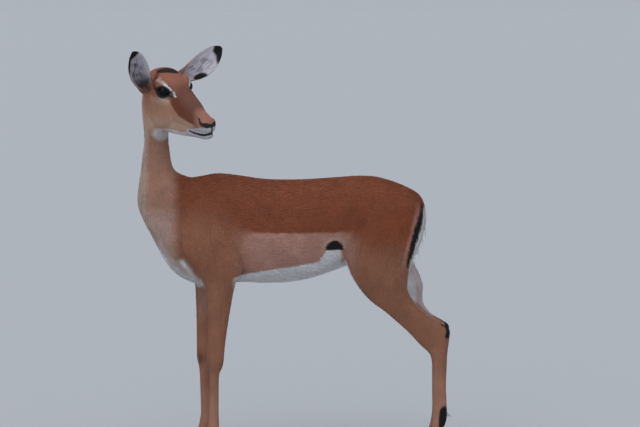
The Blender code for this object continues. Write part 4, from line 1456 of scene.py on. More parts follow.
FLOW_ROUNDS = 16
skin_flow = flattened(coat_flow(skin_points), skin_normals)
skin_flow = relaxed(skin_flow, edges_of(skin), FLOW_ROUNDS, 1.0, steps=(0.5,))
skin_flow = flattened(skin_flow, skin_normals)
print("directions laid at", len(skin_flow), "points")

# %% [markdown]
# ## Tufts
# A tuft is a thin three-sided lock of hair: a ring at its root, a ring halfway and a point. It could be a
# hair curve, but curves don't export, so it is a mesh. Its middle and its tip are both placed on the
# skin below them and lifted a millimetre or so, which makes every tuft hug the body and overlap the
# next. Numpy lays many thousands of them at once.

# %% Length, width and number of tufts
COVER = 1.23  # how many tufts thick the coat is
TUFT_FILL = 0.6  # a tuft's area as a share of its length times its width
EAR_THIN = 0.55  # how thick the hair inside the ears grows, next to elsewhere


def ear_mask(points):
    """1 on the outside of an ear, -1 inside it and 0 elsewhere."""
    out = np.zeros(len(points))
    for side in SIDES:
        share, turn, off = ear_place(points, side)
        inside = (off < 0) & (share > 0.16)
        out = np.where(of_ear(share, turn, off), np.where(inside, -1.0, 1.0), out)
    return out


def tuft_length(points, normals):
    """Length of the hair at each place, before it varies from tuft to tuft."""
    x, _, z = points.T
    out = 0.0060 + 0.0025 * step(z, 0.14, 0.30) + 0.0045 * step(z, 0.38, 0.52)
    out -= 0.0050 * bell(np.hypot(x - 0.121, z - 0.570), 0.040)
    out += 0.0050 * step(-normals[:, 2], 0.3, 0.8) * step(z, 0.44, 0.47) * (1 - step(z, 0.60, 0.62))
    out += 0.0040 * step(x, 0.32, 0.35) * step(z, 0.50, 0.53)
    out += 0.0030 * step(-x, 0.30, 0.36) * band(z, 0.50, 0.68, 0.04)
    local = in_head(points)
    head = near_head(points) * step(local[:, 0], -0.11, -0.06)
    face = 0.0062 - 0.0026 * step(local[:, 0], 0.03, 0.12)
    for b in HEAD_SIDES:
        gap, _, reach = aperture(local, b)
        face = np.where(reach < 0.05, np.minimum(face, 0.0034 + 0.2 * np.maximum(gap, 0)), face)
    out = out + (face - out) * head
    ear = ear_mask(points)
    out = np.where(ear > 0, 0.0058, out)
    return np.where(ear < 0, 0.0090, out)


def tuft_width(length):
    return np.clip(0.15 * length, 0.0009, 0.0019)


# %% Roots


def scattered(per_area, rng):
    """Roots on the skin, evenly by a density: triangle and corner shares of each."""
    a, b, c = (skin_points[skin_triangles[:, k]] for k in range(3))
    area = np.linalg.norm(np.cross(b - a, c - a), axis=1) / 2
    wanted = np.cumsum(area * per_area[skin_triangles].mean(1))
    count = int(wanted[-1])
    places = (np.arange(count) + rng.random(count)) * wanted[-1] / count
    chosen = np.searchsorted(wanted, places)
    u, v = rng.random((2, count))
    over = u + v > 1
    u = np.where(over, 1 - u, u)
    v = np.where(over, 1 - v, v)
    return np.minimum(chosen, len(area) - 1), np.stack((1 - u - v, u, v), axis=1)


def at_roots(values, chosen, shares):
    """Places or directions of the skin's points, read at the roots."""
    return (values[skin_triangles[chosen]] * shares[:, :, None]).sum(1)


# %% Choosing the roots
skin_triangles = triangles_of(skin)
length = tuft_length(skin_points, skin_normals)
bare = bare_skin(skin_points)
per_area = COVER / (TUFT_FILL * length * tuft_width(length)) * (bare < 0.4)
per_area *= np.where(ear_mask(skin_points) < 0, EAR_THIN, 1.0)
rng = np.random.default_rng(7)
chosen, shares = scattered(per_area, rng)
roots = at_roots(skin_points, chosen, shares)
root_normals = at_roots(skin_normals, chosen, shares)
root_normals /= np.linalg.norm(root_normals, axis=1)[:, None]
root_flow = flattened(at_roots(skin_flow, chosen, shares), root_normals)
print("tufts:", len(roots))

# %% Laying tufts on the skin
skin_tree = BVHTree.FromPolygons(skin_points.tolist(), skin_triangles.tolist())
TUFT_POINTS = 7
TUFT_SINKS = 0.0004  # how deep their roots start under the skin
TUFT_TURN = 0.15  # how far tufts stray from the lie of the coat, in radians


def on_skin(points):
    """The nearest places on the skin, and its normals there."""
    places = np.empty_like(points)
    normals = np.empty_like(points)
    for k, point in enumerate(points.tolist()):
        place, normal, _, _ = skin_tree.find_nearest(point)
        places[k] = place
        normals[k] = normal
    return places, normals


def lay_tufts(roots, normals, flow, length, width, lift, rng):
    """Seven points for each tuft, and the skin's normal at each: two rings of three and a tip."""
    stray = rng.normal(0, TUFT_TURN, len(roots))[:, None]
    flow = flow * np.cos(stray) + np.cross(normals, flow) * np.sin(stray)
    middle, middle_normals = on_skin(roots + flow * (length * 0.5)[:, None])
    onward = middle - roots
    onward /= np.maximum(np.linalg.norm(onward, axis=1), 1e-9)[:, None]
    tip, tip_normals = on_skin(middle + onward * (length * 0.5)[:, None])
    across = np.cross(flow, normals) * (width / 2)[:, None]
    base = roots - normals * TUFT_SINKS
    crest = middle + middle_normals * (lift * 0.55)[:, None]
    high = (width * 0.22)[:, None]
    points = (
        base - across * 0.8,
        base + normals * high,
        base + across * 0.8,
        crest - across,
        crest + middle_normals * high,
        crest + across,
        tip + tip_normals * lift[:, None],
    )
    shade = [normals] * 3 + [middle_normals] * 3 + [tip_normals]
    return np.stack(points, axis=1), np.stack(shade, axis=1)


# %% Tufts as a mesh
TUFT_QUADS = ((0, 1, 4, 3), (1, 2, 5, 4), (2, 0, 3, 5))
TUFT_TIPS = ((3, 4, 6), (4, 5, 6), (5, 3, 6))
# Painted shade along each tuft: darker at its root and lighter at its tip.
TUFT_SHADES = (0.88, 0.90, 0.88, 0.98, 1.01, 0.98, 1.06)  # from root to tip
PATCH_HALF = 0.0014  # half the width of a tuft's patch on the OFBake map
TUFT_PATCH = np.array(((-1, -1), (0, -1), (1, -1), (-1, 0.2), (0, 0.2), (1, 0.2), (0, 1))) * PATCH_HALF
SOFT_NORMALS = 0.75  # how far a tuft is shaded like the skin under it


def tuft_mesh(name, points, shade, colours, unwrap):
    """One mesh of many tufts, with their colours and the OFBake map."""
    count = len(points)
    first = (np.arange(count) * TUFT_POINTS)[:, None, None]
    quads = (first + np.array(TUFT_QUADS)).reshape(-1, 4)
    tips = (first + np.array(TUFT_TIPS)).reshape(-1, 3)
    loops = np.concatenate((quads.ravel(), tips.ravel()))
    starts = np.concatenate((np.arange(len(quads)) * 4, len(quads) * 4 + np.arange(len(tips)) * 3))
    mesh = bpy.data.meshes.new(name)
    mesh.vertices.add(count * TUFT_POINTS)
    mesh.vertices.foreach_set("co", points.ravel())
    mesh.loops.add(len(loops))
    mesh.loops.foreach_set("vertex_index", loops)
    mesh.polygons.add(len(starts))
    mesh.polygons.foreach_set("loop_start", starts)
    mesh.update(calc_edges=True)
    mesh.shade_smooth()
    own = normals_of(mesh)
    soft = own * (1 - SOFT_NORMALS) + shade.reshape(-1, 3) * SOFT_NORMALS
    mesh.normals_split_custom_set_from_vertices(soft / np.linalg.norm(soft, axis=1)[:, None])
    shades = colours[:, None, :] * np.array(TUFT_SHADES)[None, :, None]
    store_colour(mesh, "coat", np.clip(shades, 0, 1).reshape(-1, 3))
    places = unwrap[:, None, :] + TUFT_PATCH
    layer = mesh.uv_layers.new(name="OFBake")
    layer.data.foreach_set("uv", places.reshape(-1, 2)[loops].ravel())
    return mesh


# %% [markdown]
# ## Surfaces
# The coat and the skin under it have a material each, and both read the markings from their mesh as one
# colour attribute, so their colours can't drift apart. A node group that they share adds what is too fine
# for points: strands of light and dark, and the grain of short hair as bump. Bare skin is smoother and
# pebbled instead.

# %% Node groups


def node_group(name, inputs, outputs):
    """An empty shader node group, with its input and output nodes."""
    group = bpy.data.node_groups.new(name, "ShaderNodeTree")
    for label, kind in inputs:
        group.interface.new_socket(label, in_out="INPUT", socket_type=kind)
    for label, kind in outputs:
        group.interface.new_socket(label, in_out="OUTPUT", socket_type=kind)
    return group, group.nodes.new("NodeGroupInput"), group.nodes.new("NodeGroupOutput")


def noise(tree, place, scale, detail=3.0):
    """Smooth noise from 0 to 1, of which scale says how fine it is."""
    node = tree.nodes.new("ShaderNodeTexNoise")
    node.inputs["Scale"].default_value = scale
    node.inputs["Detail"].default_value = detail
    tree.links.new(place, node.inputs["Vector"])
    return node.outputs["Fac"]


def remapped(tree, value, low, high):
    """A value from 0.3 to 0.7, which is where noise lies, taken to another range."""
    node = tree.nodes.new("ShaderNodeMapRange")
    node.inputs["From Min"].default_value = 0.3
    node.inputs["From Max"].default_value = 0.7
    node.inputs["To Min"].default_value = low
    node.inputs["To Max"].default_value = high
    tree.links.new(value, node.inputs["Value"])
    return node.outputs["Result"]


def product(tree, a, b):
    """A value times another, or times a plain number."""
    node = tree.nodes.new("ShaderNodeMath")
    node.operation = "MULTIPLY"
    tree.links.new(a, node.inputs[0])
    if isinstance(b, float):
        node.inputs[1].default_value = b
    else:
        tree.links.new(b, node.inputs[1])
    return node.outputs["Value"]


def shaded(tree, colour, amount):
    """A colour made lighter or darker by a value."""
    node = tree.nodes.new("ShaderNodeVectorMath")
    node.operation = "SCALE"
    tree.links.new(colour, node.inputs[0])
    tree.links.new(amount, node.inputs["Scale"])
    return node.outputs["Vector"]


def strands_group():
    """Light and dark strands over a colour, and their height."""
    group, taken, given = node_group(
        "hair strands",
        (("Colour", "NodeSocketColor"), ("Place", "NodeSocketVector")),
        (("Colour", "NodeSocketColor"), ("Height", "NodeSocketFloat"), ("Tone", "NodeSocketFloat")),
    )
    fine = noise(group, taken.outputs["Place"], scale=900.0, detail=2.0)
    broad = noise(group, taken.outputs["Place"], scale=22.0, detail=4.0)
    tone = product(group, remapped(group, fine, 0.88, 1.12), remapped(group, broad, 0.90, 1.10))
    group.links.new(shaded(group, taken.outputs["Colour"], tone), given.inputs["Colour"])
    group.links.new(fine, given.inputs["Height"])
    group.links.new(tone, given.inputs["Tone"])
    return group


def pebbles_group():
    """The small pebbles of bare nose leather, as a height, and how rough it is."""
    group, taken, given = node_group(
        "nose leather",
        (("Place", "NodeSocketVector"),),
        (("Height", "NodeSocketFloat"), ("Roughness", "NodeSocketFloat")),
    )
    cells = group.nodes.new("ShaderNodeTexVoronoi")
    cells.inputs["Scale"].default_value = 900.0
    group.links.new(taken.outputs["Place"], cells.inputs["Vector"])
    group.links.new(cells.outputs["Distance"], given.inputs["Height"])
    rough = remapped(group, noise(group, taken.outputs["Place"], scale=300.0), 0.30, 0.50)
    group.links.new(rough, given.inputs["Roughness"])
    return group


STRANDS = strands_group()
PEBBLES = pebbles_group()
print("node groups:", STRANDS.name, "and", PEBBLES.name)

# %% Links between nodes


def new_material(name):
    """A material with its Principled BSDF node and node tree."""
    material = bpy.data.materials.new(name)
    material.use_nodes = True
    tree = material.node_tree
    return material, tree, tree.nodes["Principled BSDF"]


def attribute(tree, name, output):
    """What a mesh stores under a name."""
    node = tree.nodes.new("ShaderNodeAttribute")
    node.attribute_name = name
    return node.outputs[output]


def use_group(tree, group, **links):
    node = tree.nodes.new("ShaderNodeGroup")
    node.node_tree = group
    for name, source in links.items():
        tree.links.new(source, node.inputs[name])
    return node


def bumped(tree, height, strength, distance):
    """A normal that a height tilts, distance metres at full height."""
    node = tree.nodes.new("ShaderNodeBump")
    node.inputs["Strength"].default_value = strength
    node.inputs["Distance"].default_value = distance
    tree.links.new(height, node.inputs["Height"])
    return node.outputs["Normal"]


def mixed(tree, a, b, share):
    """From one value to another by a share."""
    node = tree.nodes.new("ShaderNodeMix")
    tree.links.new(share, node.inputs["Factor"])
    tree.links.new(a, node.inputs["A"])
    tree.links.new(b, node.inputs["B"])
    return node.outputs["Result"]


# %% Coat and skin materials


def coat_material():
    """Hair: matt, with a faint sheen."""
    material, tree, surface = new_material("short fur")
    place = tree.nodes.new("ShaderNodeTexCoord").outputs["Object"]
    strands = use_group(tree, STRANDS, Colour=attribute(tree, "coat", "Color"), Place=place)
    tree.links.new(strands.outputs["Colour"], surface.inputs["Base Color"])
    grain = bumped(tree, strands.outputs["Height"], strength=0.25, distance=0.0004)
    tree.links.new(grain, surface.inputs["Normal"])
    surface.inputs["Roughness"].default_value = 0.62
    surface.inputs["Specular IOR Level"].default_value = 0.22
    surface.inputs["Sheen Weight"].default_value = 0.03
    surface.inputs["Sheen Roughness"].default_value = 0.45
    return material


def skin_material():
    """Skin with short hair on it, and leather where it is bare."""
    material, tree, surface = new_material("skin")
    place = tree.nodes.new("ShaderNodeTexCoord").outputs["Object"]
    bare = attribute(tree, "bare", "Fac")
    strands = use_group(tree, STRANDS, Colour=attribute(tree, "coat", "Color"), Place=place)
    pebbles = use_group(tree, PEBBLES, Place=place)
    tree.links.new(strands.outputs["Colour"], surface.inputs["Base Color"])
    height = mixed(tree, strands.outputs["Height"], pebbles.outputs["Height"], bare)
    tree.links.new(bumped(tree, height, strength=0.35, distance=0.0005), surface.inputs["Normal"])
    furred = product(tree, strands.outputs["Tone"], 0.72)
    tree.links.new(mixed(tree, furred, pebbles.outputs["Roughness"], bare), surface.inputs["Roughness"])
    surface.inputs["Specular IOR Level"].default_value = 0.40
    return material


COAT = coat_material()
SKIN = skin_material()
print("materials:", COAT.name, "and", SKIN.name)

# %% [markdown]
# ## Finished pieces
# Each piece is moved by the frame's shift, rides on the frame's one body, hides the faceted nodes it
# stands for and takes the material it is given.

# %% The skin


def add_piece(name, mesh, material, nodes):
    mesh.transform(Matrix.Translation(SHIFT))
    mesh.materials.append(material)
    piece = new_object(name, mesh)
    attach(piece, "root")
    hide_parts(*nodes)
    return piece


def both_sides(*names):
    """The names of nodes that come in a left and a right."""
    return [f"{name}_{side_name(side)}" for name in names for side in SIDES]


FORELEG_NODES = both_sides("foreleg_upper", "foreleg_lower")
HINDLEG_NODES = both_sides("hindleg_upper", "hindleg_lower")
FLESH = ["trunk", "neck", "head", "tail", *both_sides("ear"), *FORELEG_NODES, *HINDLEG_NODES]
skin.name = "skin"
skin.shade_smooth()
print("the skin stands for", len(FLESH), "nodes")

# %% [markdown]
# ## The coat's pieces
# The tufts are divided by the part of the body they grow on, so that no piece is too heavy. Each has an
# unwrap of its part: the turn round the part's own axis and the place along it, or an ear's own turn and
# share. A tuft is one small patch on it, at its root's place.

# %% Parts of the coat
UNWRAP_MARGIN = 0.01
PARTS = {  # axis from start to end, and the nodes that the piece helps to replace
    "head": (HEAD @ Vector((-0.11, 0, -0.03)), HEAD @ Vector((0.15, 0, -0.09)), ["head"]),
    "neck": (Vector((-0.30, 0, 0.76)), Vector((-0.37, -0.03, 1.03)), ["neck"]),
    "front": (Vector((-0.42, 0, 0.63)), Vector((0.0, 0, 0.63)), ["trunk", *both_sides("foreleg_upper")]),
    "back": (Vector((0.0, 0, 0.63)), Vector((0.38, 0, 0.63)), ["trunk", *both_sides("hindleg_upper")]),
    "foreleg": (Vector((-0.205, 0.068, 0.5)), Vector((-0.215, 0.066, 0.0)), FORELEG_NODES),
    "hindleg": (Vector((0.35, 0.068, 0.5)), Vector((0.405, 0.060, 0.0)), HINDLEG_NODES),
    "tail": (Vector((0.357, 0, 0.72)), Vector((0.335, 0, 0.53)), ["tail"]),
    "ear": (None, None, both_sides("ear")),
}


def part_of(points):
    """The name of the part each root grows on."""
    x, y, z = points.T
    on_head = (in_head(points)[:, 0] > -0.09) & (z > 0.90)
    rules = (
        (ear_mask(points) != 0, "ear"),
        (on_head, "head"),
        ((z > 0.770) & (x < -0.20), "neck"),
        ((np.abs(y) < 0.0155) & (x > 0.335) & (z < 0.700) & (z > 0.520), "tail"),
        ((z < 0.460) & (x < -0.10), "foreleg"),
        ((z < 0.440) & (x > 0.10), "hindleg"),
        (x < 0.0, "front"),
    )
    return np.select([rule for rule, _ in rules], [name for _, name in rules], "back")


def unwrapped(points, part, side):
    """Places from 0 to 1 on an unwrap of a part of the skin."""
    room = 1 - 2 * UNWRAP_MARGIN
    if part == "ear":
        share, turn, off = ear_place(points, side)
        u = np.clip(turn / 2.5 + 0.5, 0, 1) * 0.49 + 0.51 * (off < 0)
        return UNWRAP_MARGIN + room * np.clip(np.stack((u, share), axis=1), 0, 1)
    start, end, _ = PARTS[part]
    own_side = (1, side if part.endswith("leg") else 1, 1)
    start = np.array(start) * own_side
    end = np.array(end) * own_side
    axis = (end - start) / np.linalg.norm(end - start)
    facing = np.cross(axis, (0, 0, 1) if abs(axis[2]) < 0.7 else (1, 0, 0))
    offset = points - start
    u = np.arctan2(offset @ np.cross(axis, facing), offset @ facing)
    v = offset @ axis
    places = np.stack(((u - u.min()) / np.ptp(u), (v - v.min()) / np.ptp(v)), axis=1)
    return UNWRAP_MARGIN + room * places


def toned(colours, points, rng):
    """Each tuft a little lighter or darker than the next, in clouds and by itself."""
    tone = 1 + 0.05 * wander(points, 0.05, 5) + rng.normal(0, 0.075, len(points))
    return np.clip(colours * np.clip(tone, 0.75, 1.25)[:, None], 0, 1)


# %% Growing the coat
length = tuft_length(roots, root_normals) * np.clip(rng.normal(1, 0.15, len(roots)), 0.6, 1.4)
lift = np.clip(0.085 * length, 0.0004, 0.0016) * np.clip(rng.normal(1, 0.3, len(roots)), 0.4, 1.8)
tufts, tuft_shade = lay_tufts(roots, root_normals, root_flow, length, tuft_width(length), lift, rng)
colours = toned(coat_colour(tufts[:, 4], tuft_shade[:, 4]), roots, rng)
parts = part_of(roots)
sides = np.where(roots[:, 1] < 0, LEFT, RIGHT)
on_head = (parts == "head") | (parts == "ear")
sides = np.where(on_head, np.where(in_head(roots)[:, 1] > 0, LEFT, RIGHT), sides)
for part, (_, _, nodes) in PARTS.items():
    for side in SIDES:
        mine = (parts == part) & (sides == side)
        name = f"coat_{part}_{side_name(side)}"
        unwrap = unwrapped(roots[mine], part, side)
        mesh = tuft_mesh(name, tufts[mine], tuft_shade[mine], colours[mine], unwrap)
        add_piece(name, mesh, COAT, nodes)
        print(name, "has", int(mine.sum()), "tufts")

# %% [markdown]
# ## Long hair
# The tail's fringe, the white hair of the rump and the black tufts above the hind feet hang free, so these
# tufts don't follow the skin. Each starts at its root, leaves it in its own direction and sinks towards its
# tip. The densities below are too low: only a few dozen tufts grow in all, over the short coat, where a
# real ewe has a full fringe. A fuller one would need a higher density in each call of grow_hair.

# %% Free tufts
FREE_SINKS = 0.001  # how deep their roots start under the skin


def free_tufts(roots, directions, outward, length, width, sink):
    """The same seven points as a tuft of the coat, along a drooping line, shaded like the skin."""
    directions = directions / np.linalg.norm(directions, axis=1)[:, None]
    down = np.array((0.0, 0.0, -1.0))
    length = length[:, None]
    middle = roots + directions * length * 0.5 + down * length * sink * 0.3
    tip = roots + directions * length + down * length * sink
    across = np.cross(directions, (0.12, 0.9, 0.2))
    across /= np.linalg.norm(across, axis=1)[:, None]
    rise = np.cross(across, directions) * (width * 0.35)[:, None]
    across = across * (width * 0.5)[:, None]
    points = (
        roots - across,
        roots + rise,
        roots + across,
        middle - across,
        middle + rise,
        middle + across,
        tip,
    )
    return np.stack(points, axis=1), np.stack([outward] * TUFT_POINTS, axis=1)


def grow_hair(name, rule, density, seed, aim, length, part, nodes, colour=WHITE, width=0.0016, sink=0.05):
    """Grows free tufts where a rule picks the skin, so many on each square metre.

    An aim is how far they follow the skin's normal, the way they hang besides, and how far they stray."""
    rng = np.random.default_rng(seed)
    chosen, shares = scattered(rule * density, rng)
    places = at_roots(skin_points, chosen, shares)
    outward = at_roots(skin_normals, chosen, shares)
    follow, hang, stray = aim
    aims = outward * follow + np.array(hang) + rng.normal(0, stray, places.shape)
    lengths = length(places, rng)
    roots = places - outward * FREE_SINKS
    tufts, shade = free_tufts(roots, aims, outward, lengths, np.full(len(places), width), sink)
    colours = toned(np.tile(colour, (len(places), 1)), places, rng)
    mesh = tuft_mesh(name, tufts, shade, colours, unwrapped(places, part, LEFT))
    add_piece(name, mesh, COAT, nodes)
    print(name, "has", len(places), "tufts")


# %% Tail fringe
part_names = part_of(skin_points)
skin_x = without_step(skin_points)
height = skin_points[:, 2]
tail_end = step(height, 0.53, 0.56) * (1 - step(height, 0.66, 0.70))
fringe = (part_names == "tail") * tail_end * (0.3 + step(np.abs(skin_normals[:, 1]), 0.2, 0.7))


def fringe_length(places, rng):
    """Shorter towards the tail's tip."""
    return np.clip(places[:, 2] - 0.524, 0.018, 0.040) * rng.uniform(0.7, 1.0, len(places))


aim = ((0.35, 0.22, 0.1), (-0.10, 0, -1.0), 0.06)
grow_hair("tail_fringe", fringe, 1500, 11, aim, fringe_length, "tail", ["tail"], sink=0.1)

# %% White hair of the rump


def rump_length(places, rng):
    """The same everywhere, but for chance."""
    return rng.uniform(0.011, 0.016, len(places))


rump = step(skin_x - rump_stripe(height), 0.007, 0.011) * band(height, 0.525, 0.690, 0.01)
rump = rump * (part_names == "back") * (np.abs(skin_points[:, 1]) < 0.070)
aim = ((0.9, 0.5, 0.3), (0.15, 0, -0.9), 0.08)
nodes = ["trunk", *both_sides("hindleg_upper")]
grow_hair("rump_hair", rump, 3000, 13, aim, rump_length, "back", nodes)

# %% Black tufts of the hind cannons


def cannon_length(places, rng):
    """Longer than the rump's, and as even."""
    return rng.uniform(0.014, 0.022, len(places))


cannon = band(height, 0.078, 0.142, 0.006) * (skin_x > 0.404) * step(skin_normals[:, 0], -0.1, 0.5)
aim = (0.80, (0.30, 0, -1.0), 0.10)
style = {"colour": BLACK, "width": 0.0018}
grow_hair("cannon_tufts", cannon, 1400, 12, aim, cannon_length, "hindleg", HINDLEG_NODES, **style)

# %% The skin under it all
add_piece("skin", skin, SKIN, FLESH)
print("the skin has", len(skin.polygons), "faces")

# %% [markdown]
# ## Eyes
# An eye is a ball with a slightly bulging front. An impala's iris is so dark that little but the wet
# glint shows, round a long level pupil. Pupil and iris are drawn from each point's angle off the eye's
# own axis, so they stay put whatever light falls on them.

# %% Eyeballs
EYE_RINGS = 48
EYE_TURNS = 64
CORNEA_REACH = math.radians(42)
CORNEA_BULGE = 0.0007
IRIS = (0.006, 0.0045, 0.0045)
PUPIL = (0.003, 0.003, 0.004)
EYE_RIM = (0.004, 0.004, 0.005)


def eye_material():
    """Dark and wet, with fine streaks in the iris."""
    material, tree, surface = new_material("eye")
    place = tree.nodes.new("ShaderNodeTexCoord").outputs["Object"]
    streaks = remapped(tree, noise(tree, place, scale=900.0), 0.5, 1.5)
    iris = shaded(tree, attribute(tree, "iris", "Color"), streaks)
    tree.links.new(iris, surface.inputs["Base Color"])
    surface.inputs["Roughness"].default_value = 0.04
    surface.inputs["IOR"].default_value = 1.36
    surface.inputs["Specular IOR Level"].default_value = 0.22
    return material


def eye_colour(off_axis, turn):
    """Iris, level pupil and rim, by the angle off the eye's axis and the turn round it."""
    wide = off_axis * np.cos(turn) / math.radians(21)
    high = off_axis * np.sin(turn) / math.radians(10)
    pupil = 1 - step(np.abs(wide) ** 3 + np.abs(high) ** 3, 0.8, 1.1)
    out = mix(np.tile(IRIS, (len(turn), 1)), PUPIL, pupil)
    return mix(out, EYE_RIM, step(off_axis, math.radians(36), math.radians(44)))


def eyeball(side):
    """A ball whose poles are the pupil and the back of the eye."""
    b = 1 if side == LEFT else -1
    look, ahead, up = (np.array(v) for v in eye_axes(b))
    bm = bmesh.new()
    bmesh.ops.create_uvsphere(bm, u_segments=EYE_TURNS, v_segments=EYE_RINGS, radius=1.0)
    mesh = mesh_from(bm, f"eye_{side_name(side)}_ball")
    rays = points_of(mesh)
    off_axis = np.arccos(np.clip(rays[:, 2], -1, 1))
    turn = np.arctan2(rays[:, 1], rays[:, 0])
    bulge = CORNEA_BULGE * (1 - np.clip(off_axis / CORNEA_REACH, 0, 1) ** 2) ** 2
    directions = rays @ np.array((ahead, up, look))
    local = eye_middle(b) + directions * (EYE_RADIUS + bulge)[:, None]
    set_points(mesh, out_of_head(local))
    if b < 0:
        mesh.flip_normals()
    store_colour(mesh, "iris", eye_colour(off_axis, turn))
    mesh.shade_smooth()
    return mesh


EYE = eye_material()
for side in SIDES:
    node = f"eye_{side_name(side)}"
    add_piece(f"{node}_ball", eyeball(side), EYE, [node])
print("eyeballs of radius", EYE_RADIUS, "m")

# %% [markdown]
# ## Hooves
# Each foot has two claws of dark horn, cut off above by the sloping line where the hair begins. A claw
# is a stack of rings from the flat sole up to that line, with fine growth rings pressed into its wall.

# %% Claws
CLAW_SIDES = 48
CLAW_RINGS = 26
CLAW_SPREAD = 0.0095
TOE_HEIGHT = 0.032
HEEL_HEIGHT = 0.017
CLAW = (  # height, length, half width, how far the middle lies behind the sole's
    (0.000, 0.0500, 0.0088, 0.000),
    (0.004, 0.0495, 0.0092, 0.000),
    (0.018, 0.0420, 0.0088, 0.004),
    (0.040, 0.0310, 0.0078, 0.010),
)
FEET = {  # x, y and the step of each side
    "fore": (-0.243, 0.065, FORE_STANCE),
    "hind": (0.3765, 0.060, HIND_STANCE),
}
GROWTH_DEPTH = 0.00012
GROWTH_SPACING = 0.0026
TOE_NARROWS = 0.45  # how much narrower a claw is at its toe
CLEFT_FLAT = 0.75  # how full a claw is towards its neighbour
SOLE_HORN = (0.022, 0.019, 0.018)
CORONET_HORN = (0.060, 0.045, 0.038)


def hoof_material():
    """Horn with bands of growth, one above the other."""
    material, tree, surface = new_material("hoof horn")
    place = tree.nodes.new("ShaderNodeTexCoord").outputs["Object"]
    rings = tree.nodes.new("ShaderNodeTexNoise")
    rings.noise_dimensions = "1D"
    rings.inputs["Scale"].default_value = 420.0
    height = tree.nodes.new("ShaderNodeSeparateXYZ")
    tree.links.new(place, height.inputs[0])
    tree.links.new(height.outputs["Z"], rings.inputs["W"])
    clouds = remapped(tree, noise(tree, place, scale=60.0), 0.7, 1.4)
    tone = product(tree, clouds, remapped(tree, rings.outputs["Fac"], 0.85, 1.15))
    tree.links.new(shaded(tree, attribute(tree, "horn", "Color"), tone), surface.inputs["Base Color"])
    rough = remapped(tree, noise(tree, place, scale=200.0), 0.34, 0.52)
    tree.links.new(rough, surface.inputs["Roughness"])
    ridges = bumped(tree, rings.outputs["Fac"], strength=0.3, distance=0.0004)
    tree.links.new(ridges, surface.inputs["Normal"])
    return material


def claw(name, foot, inner):
    """One claw of a foot; inner is the sign of Y towards the cleft between the two."""
    bm = bmesh.new()
    rings = []
    shares = np.linspace(0, 1, CLAW_RINGS)
    table = np.array(CLAW)
    middle = (TOE_HEIGHT + HEEL_HEIGHT) / 2
    rise = (TOE_HEIGHT - HEEL_HEIGHT) / 2
    for share in shares:
        verts = []
        for k in range(CLAW_SIDES):
            turn = k * 2 * math.pi / CLAW_SIDES
            # Each line up the wall ends on the coronet's sloping plane.
            z = share * (middle + rise * math.cos(turn))
            length, half, behind = (np.interp(z, table[:, 0], table[:, column]) for column in (1, 2, 3))
            growth = GROWTH_DEPTH * math.sin(z * 2 * math.pi / GROWTH_SPACING)
            toe = max(0.0, math.cos(turn)) ** 2
            across = math.sin(turn) * (half + growth) * (1 - TOE_NARROWS * toe)
            if across * inner > 0:
                across *= CLEFT_FLAT
            x = foot.x - 0.001 + behind - math.cos(turn) * (length / 2 + growth)
            verts.append(bm.verts.new((x, foot.y - inner * CLAW_SPREAD + across, z)))
        rings.append(verts)
    walls(bm, rings)
    bm.faces.new(rings[0])
    bm.faces.new(rings[-1])
    bmesh.ops.recalc_face_normals(bm, faces=bm.faces)
    mesh = mesh_from(bm, name)
    heights = points_of(mesh)[:, 2]
    horn = np.tile(SOLE_HORN, (len(heights), 1))
    store_colour(mesh, "horn", mix(horn, CORONET_HORN, step(heights, 0.015, 0.03)))
    mesh.shade_smooth()
    return mesh


HORN = hoof_material()
for leg, (x, y, stances) in FEET.items():
    for side in SIDES:
        foot = Vector((x + stances[side], side * y, 0))
        for which, inner in (("outer", -side), ("inner", side)):
            node = f"hoof_{leg}_{which}_{side_name(side)}"
            add_piece(f"{node}_claw", claw(node, foot, inner), HORN, [node])
print("claws:", 4 * len(FEET))

# %% [markdown]
# ## Floor, light and camera
# A large pale floor and a sky of nearly its colour give an even studio. A broad soft light overhead does
# what an overcast sky does, and a weaker one beside the camera fills the near side. The camera stands far
# off with a long lens, which keeps the legs' proportions true.

# %% Floor
FLOOR_RADIUS = 400.0
FLOOR_COLOUR = (0.545, 0.562, 0.588)
bm = bmesh.new()
bmesh.ops.create_circle(bm, cap_ends=True, segments=96, radius=FLOOR_RADIUS)
floor_mesh = mesh_from(bm, "floor")
floor_material, _, floor_surface = new_material("pale floor")
floor_surface.inputs["Base Color"].default_value = (*FLOOR_COLOUR, 1)
floor_surface.inputs["Roughness"].default_value = 0.9
floor_mesh.materials.append(floor_material)
floor = new_object("floor", floor_mesh)
floor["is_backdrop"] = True
print("floor radius:", FLOOR_RADIUS, "m")

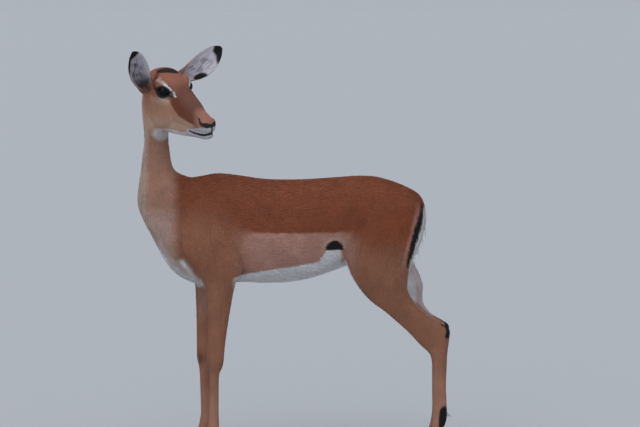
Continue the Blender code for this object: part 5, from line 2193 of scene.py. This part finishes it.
# %% Lights
SKY_COLOUR = (0.778, 0.833, 0.926)
scene = bpy.context.scene
scene.view_settings.view_transform = "Standard"
scene.world = bpy.data.worlds.new("studio")
scene.world.use_nodes = True
sky = scene.world.node_tree.nodes["Background"]
sky.inputs["Color"].default_value = (*SKY_COLOUR, 1)
sky.inputs["Strength"].default_value = 0.54


def soft_sun(name, towards, spread, strength, colour):
    """A distant light as wide as spread, which lights the floor as evenly as the sky does."""
    light = bpy.data.lights.new(name, "SUN")
    light.angle = math.radians(spread)
    light.energy = strength
    light.color = colour
    lamp = new_object(name, light)
    lamp.rotation_euler = Vector(towards).to_track_quat("-Z", "Y").to_euler()


soft_sun("overhead", (0.15, 0.25, -1.0), 70, 0.95, (0.98, 0.99, 1.0))
soft_sun("fill", (0.35, 1.0, -0.55), 50, 0.38, (1.0, 0.98, 0.96))
print("lights: a sky and two soft suns")

# %% Camera
CAMERA_FAR = 8.5
CAMERA_HIGH = 1.25
CAMERA_TURN = math.radians(-3)
PICTURE_WIDTH = 1.7704  # metres across the picture at the animal
target = Vector((0.083, 0, 0.668)) + SHIFT
camera_data = bpy.data.cameras.new("camera")
camera_data.sensor_width = 36.0
camera = new_object("camera", camera_data)
reach = Vector((math.sin(CAMERA_TURN) * CAMERA_FAR, -math.cos(CAMERA_TURN) * CAMERA_FAR, 0))
camera.location = target + reach + Vector((0, 0, CAMERA_HIGH - target.z))
camera_data.lens = camera_data.sensor_width * CAMERA_FAR / PICTURE_WIDTH
camera.rotation_euler = (target - camera.location).to_track_quat("-Z", "Y").to_euler()
bpy.context.scene.camera = camera
print("lens:", round(camera_data.lens, 1), "mm")

# %% Sizes, and the end
visual_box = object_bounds()
sizes = {
    "cad": [[float(value) for value in corner] for corner in cad_box],
    "visual": [[float(value) for value in corner] for corner in visual_box],
}
for name, (low, high) in sizes.items():
    print(name, "box:", [round(v, 4) for v in low], [round(v, 4) for v in high])
triangles = sum(len(piece.data.loop_triangles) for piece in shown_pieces() if piece.type == "MESH")
print("triangles:", triangles)
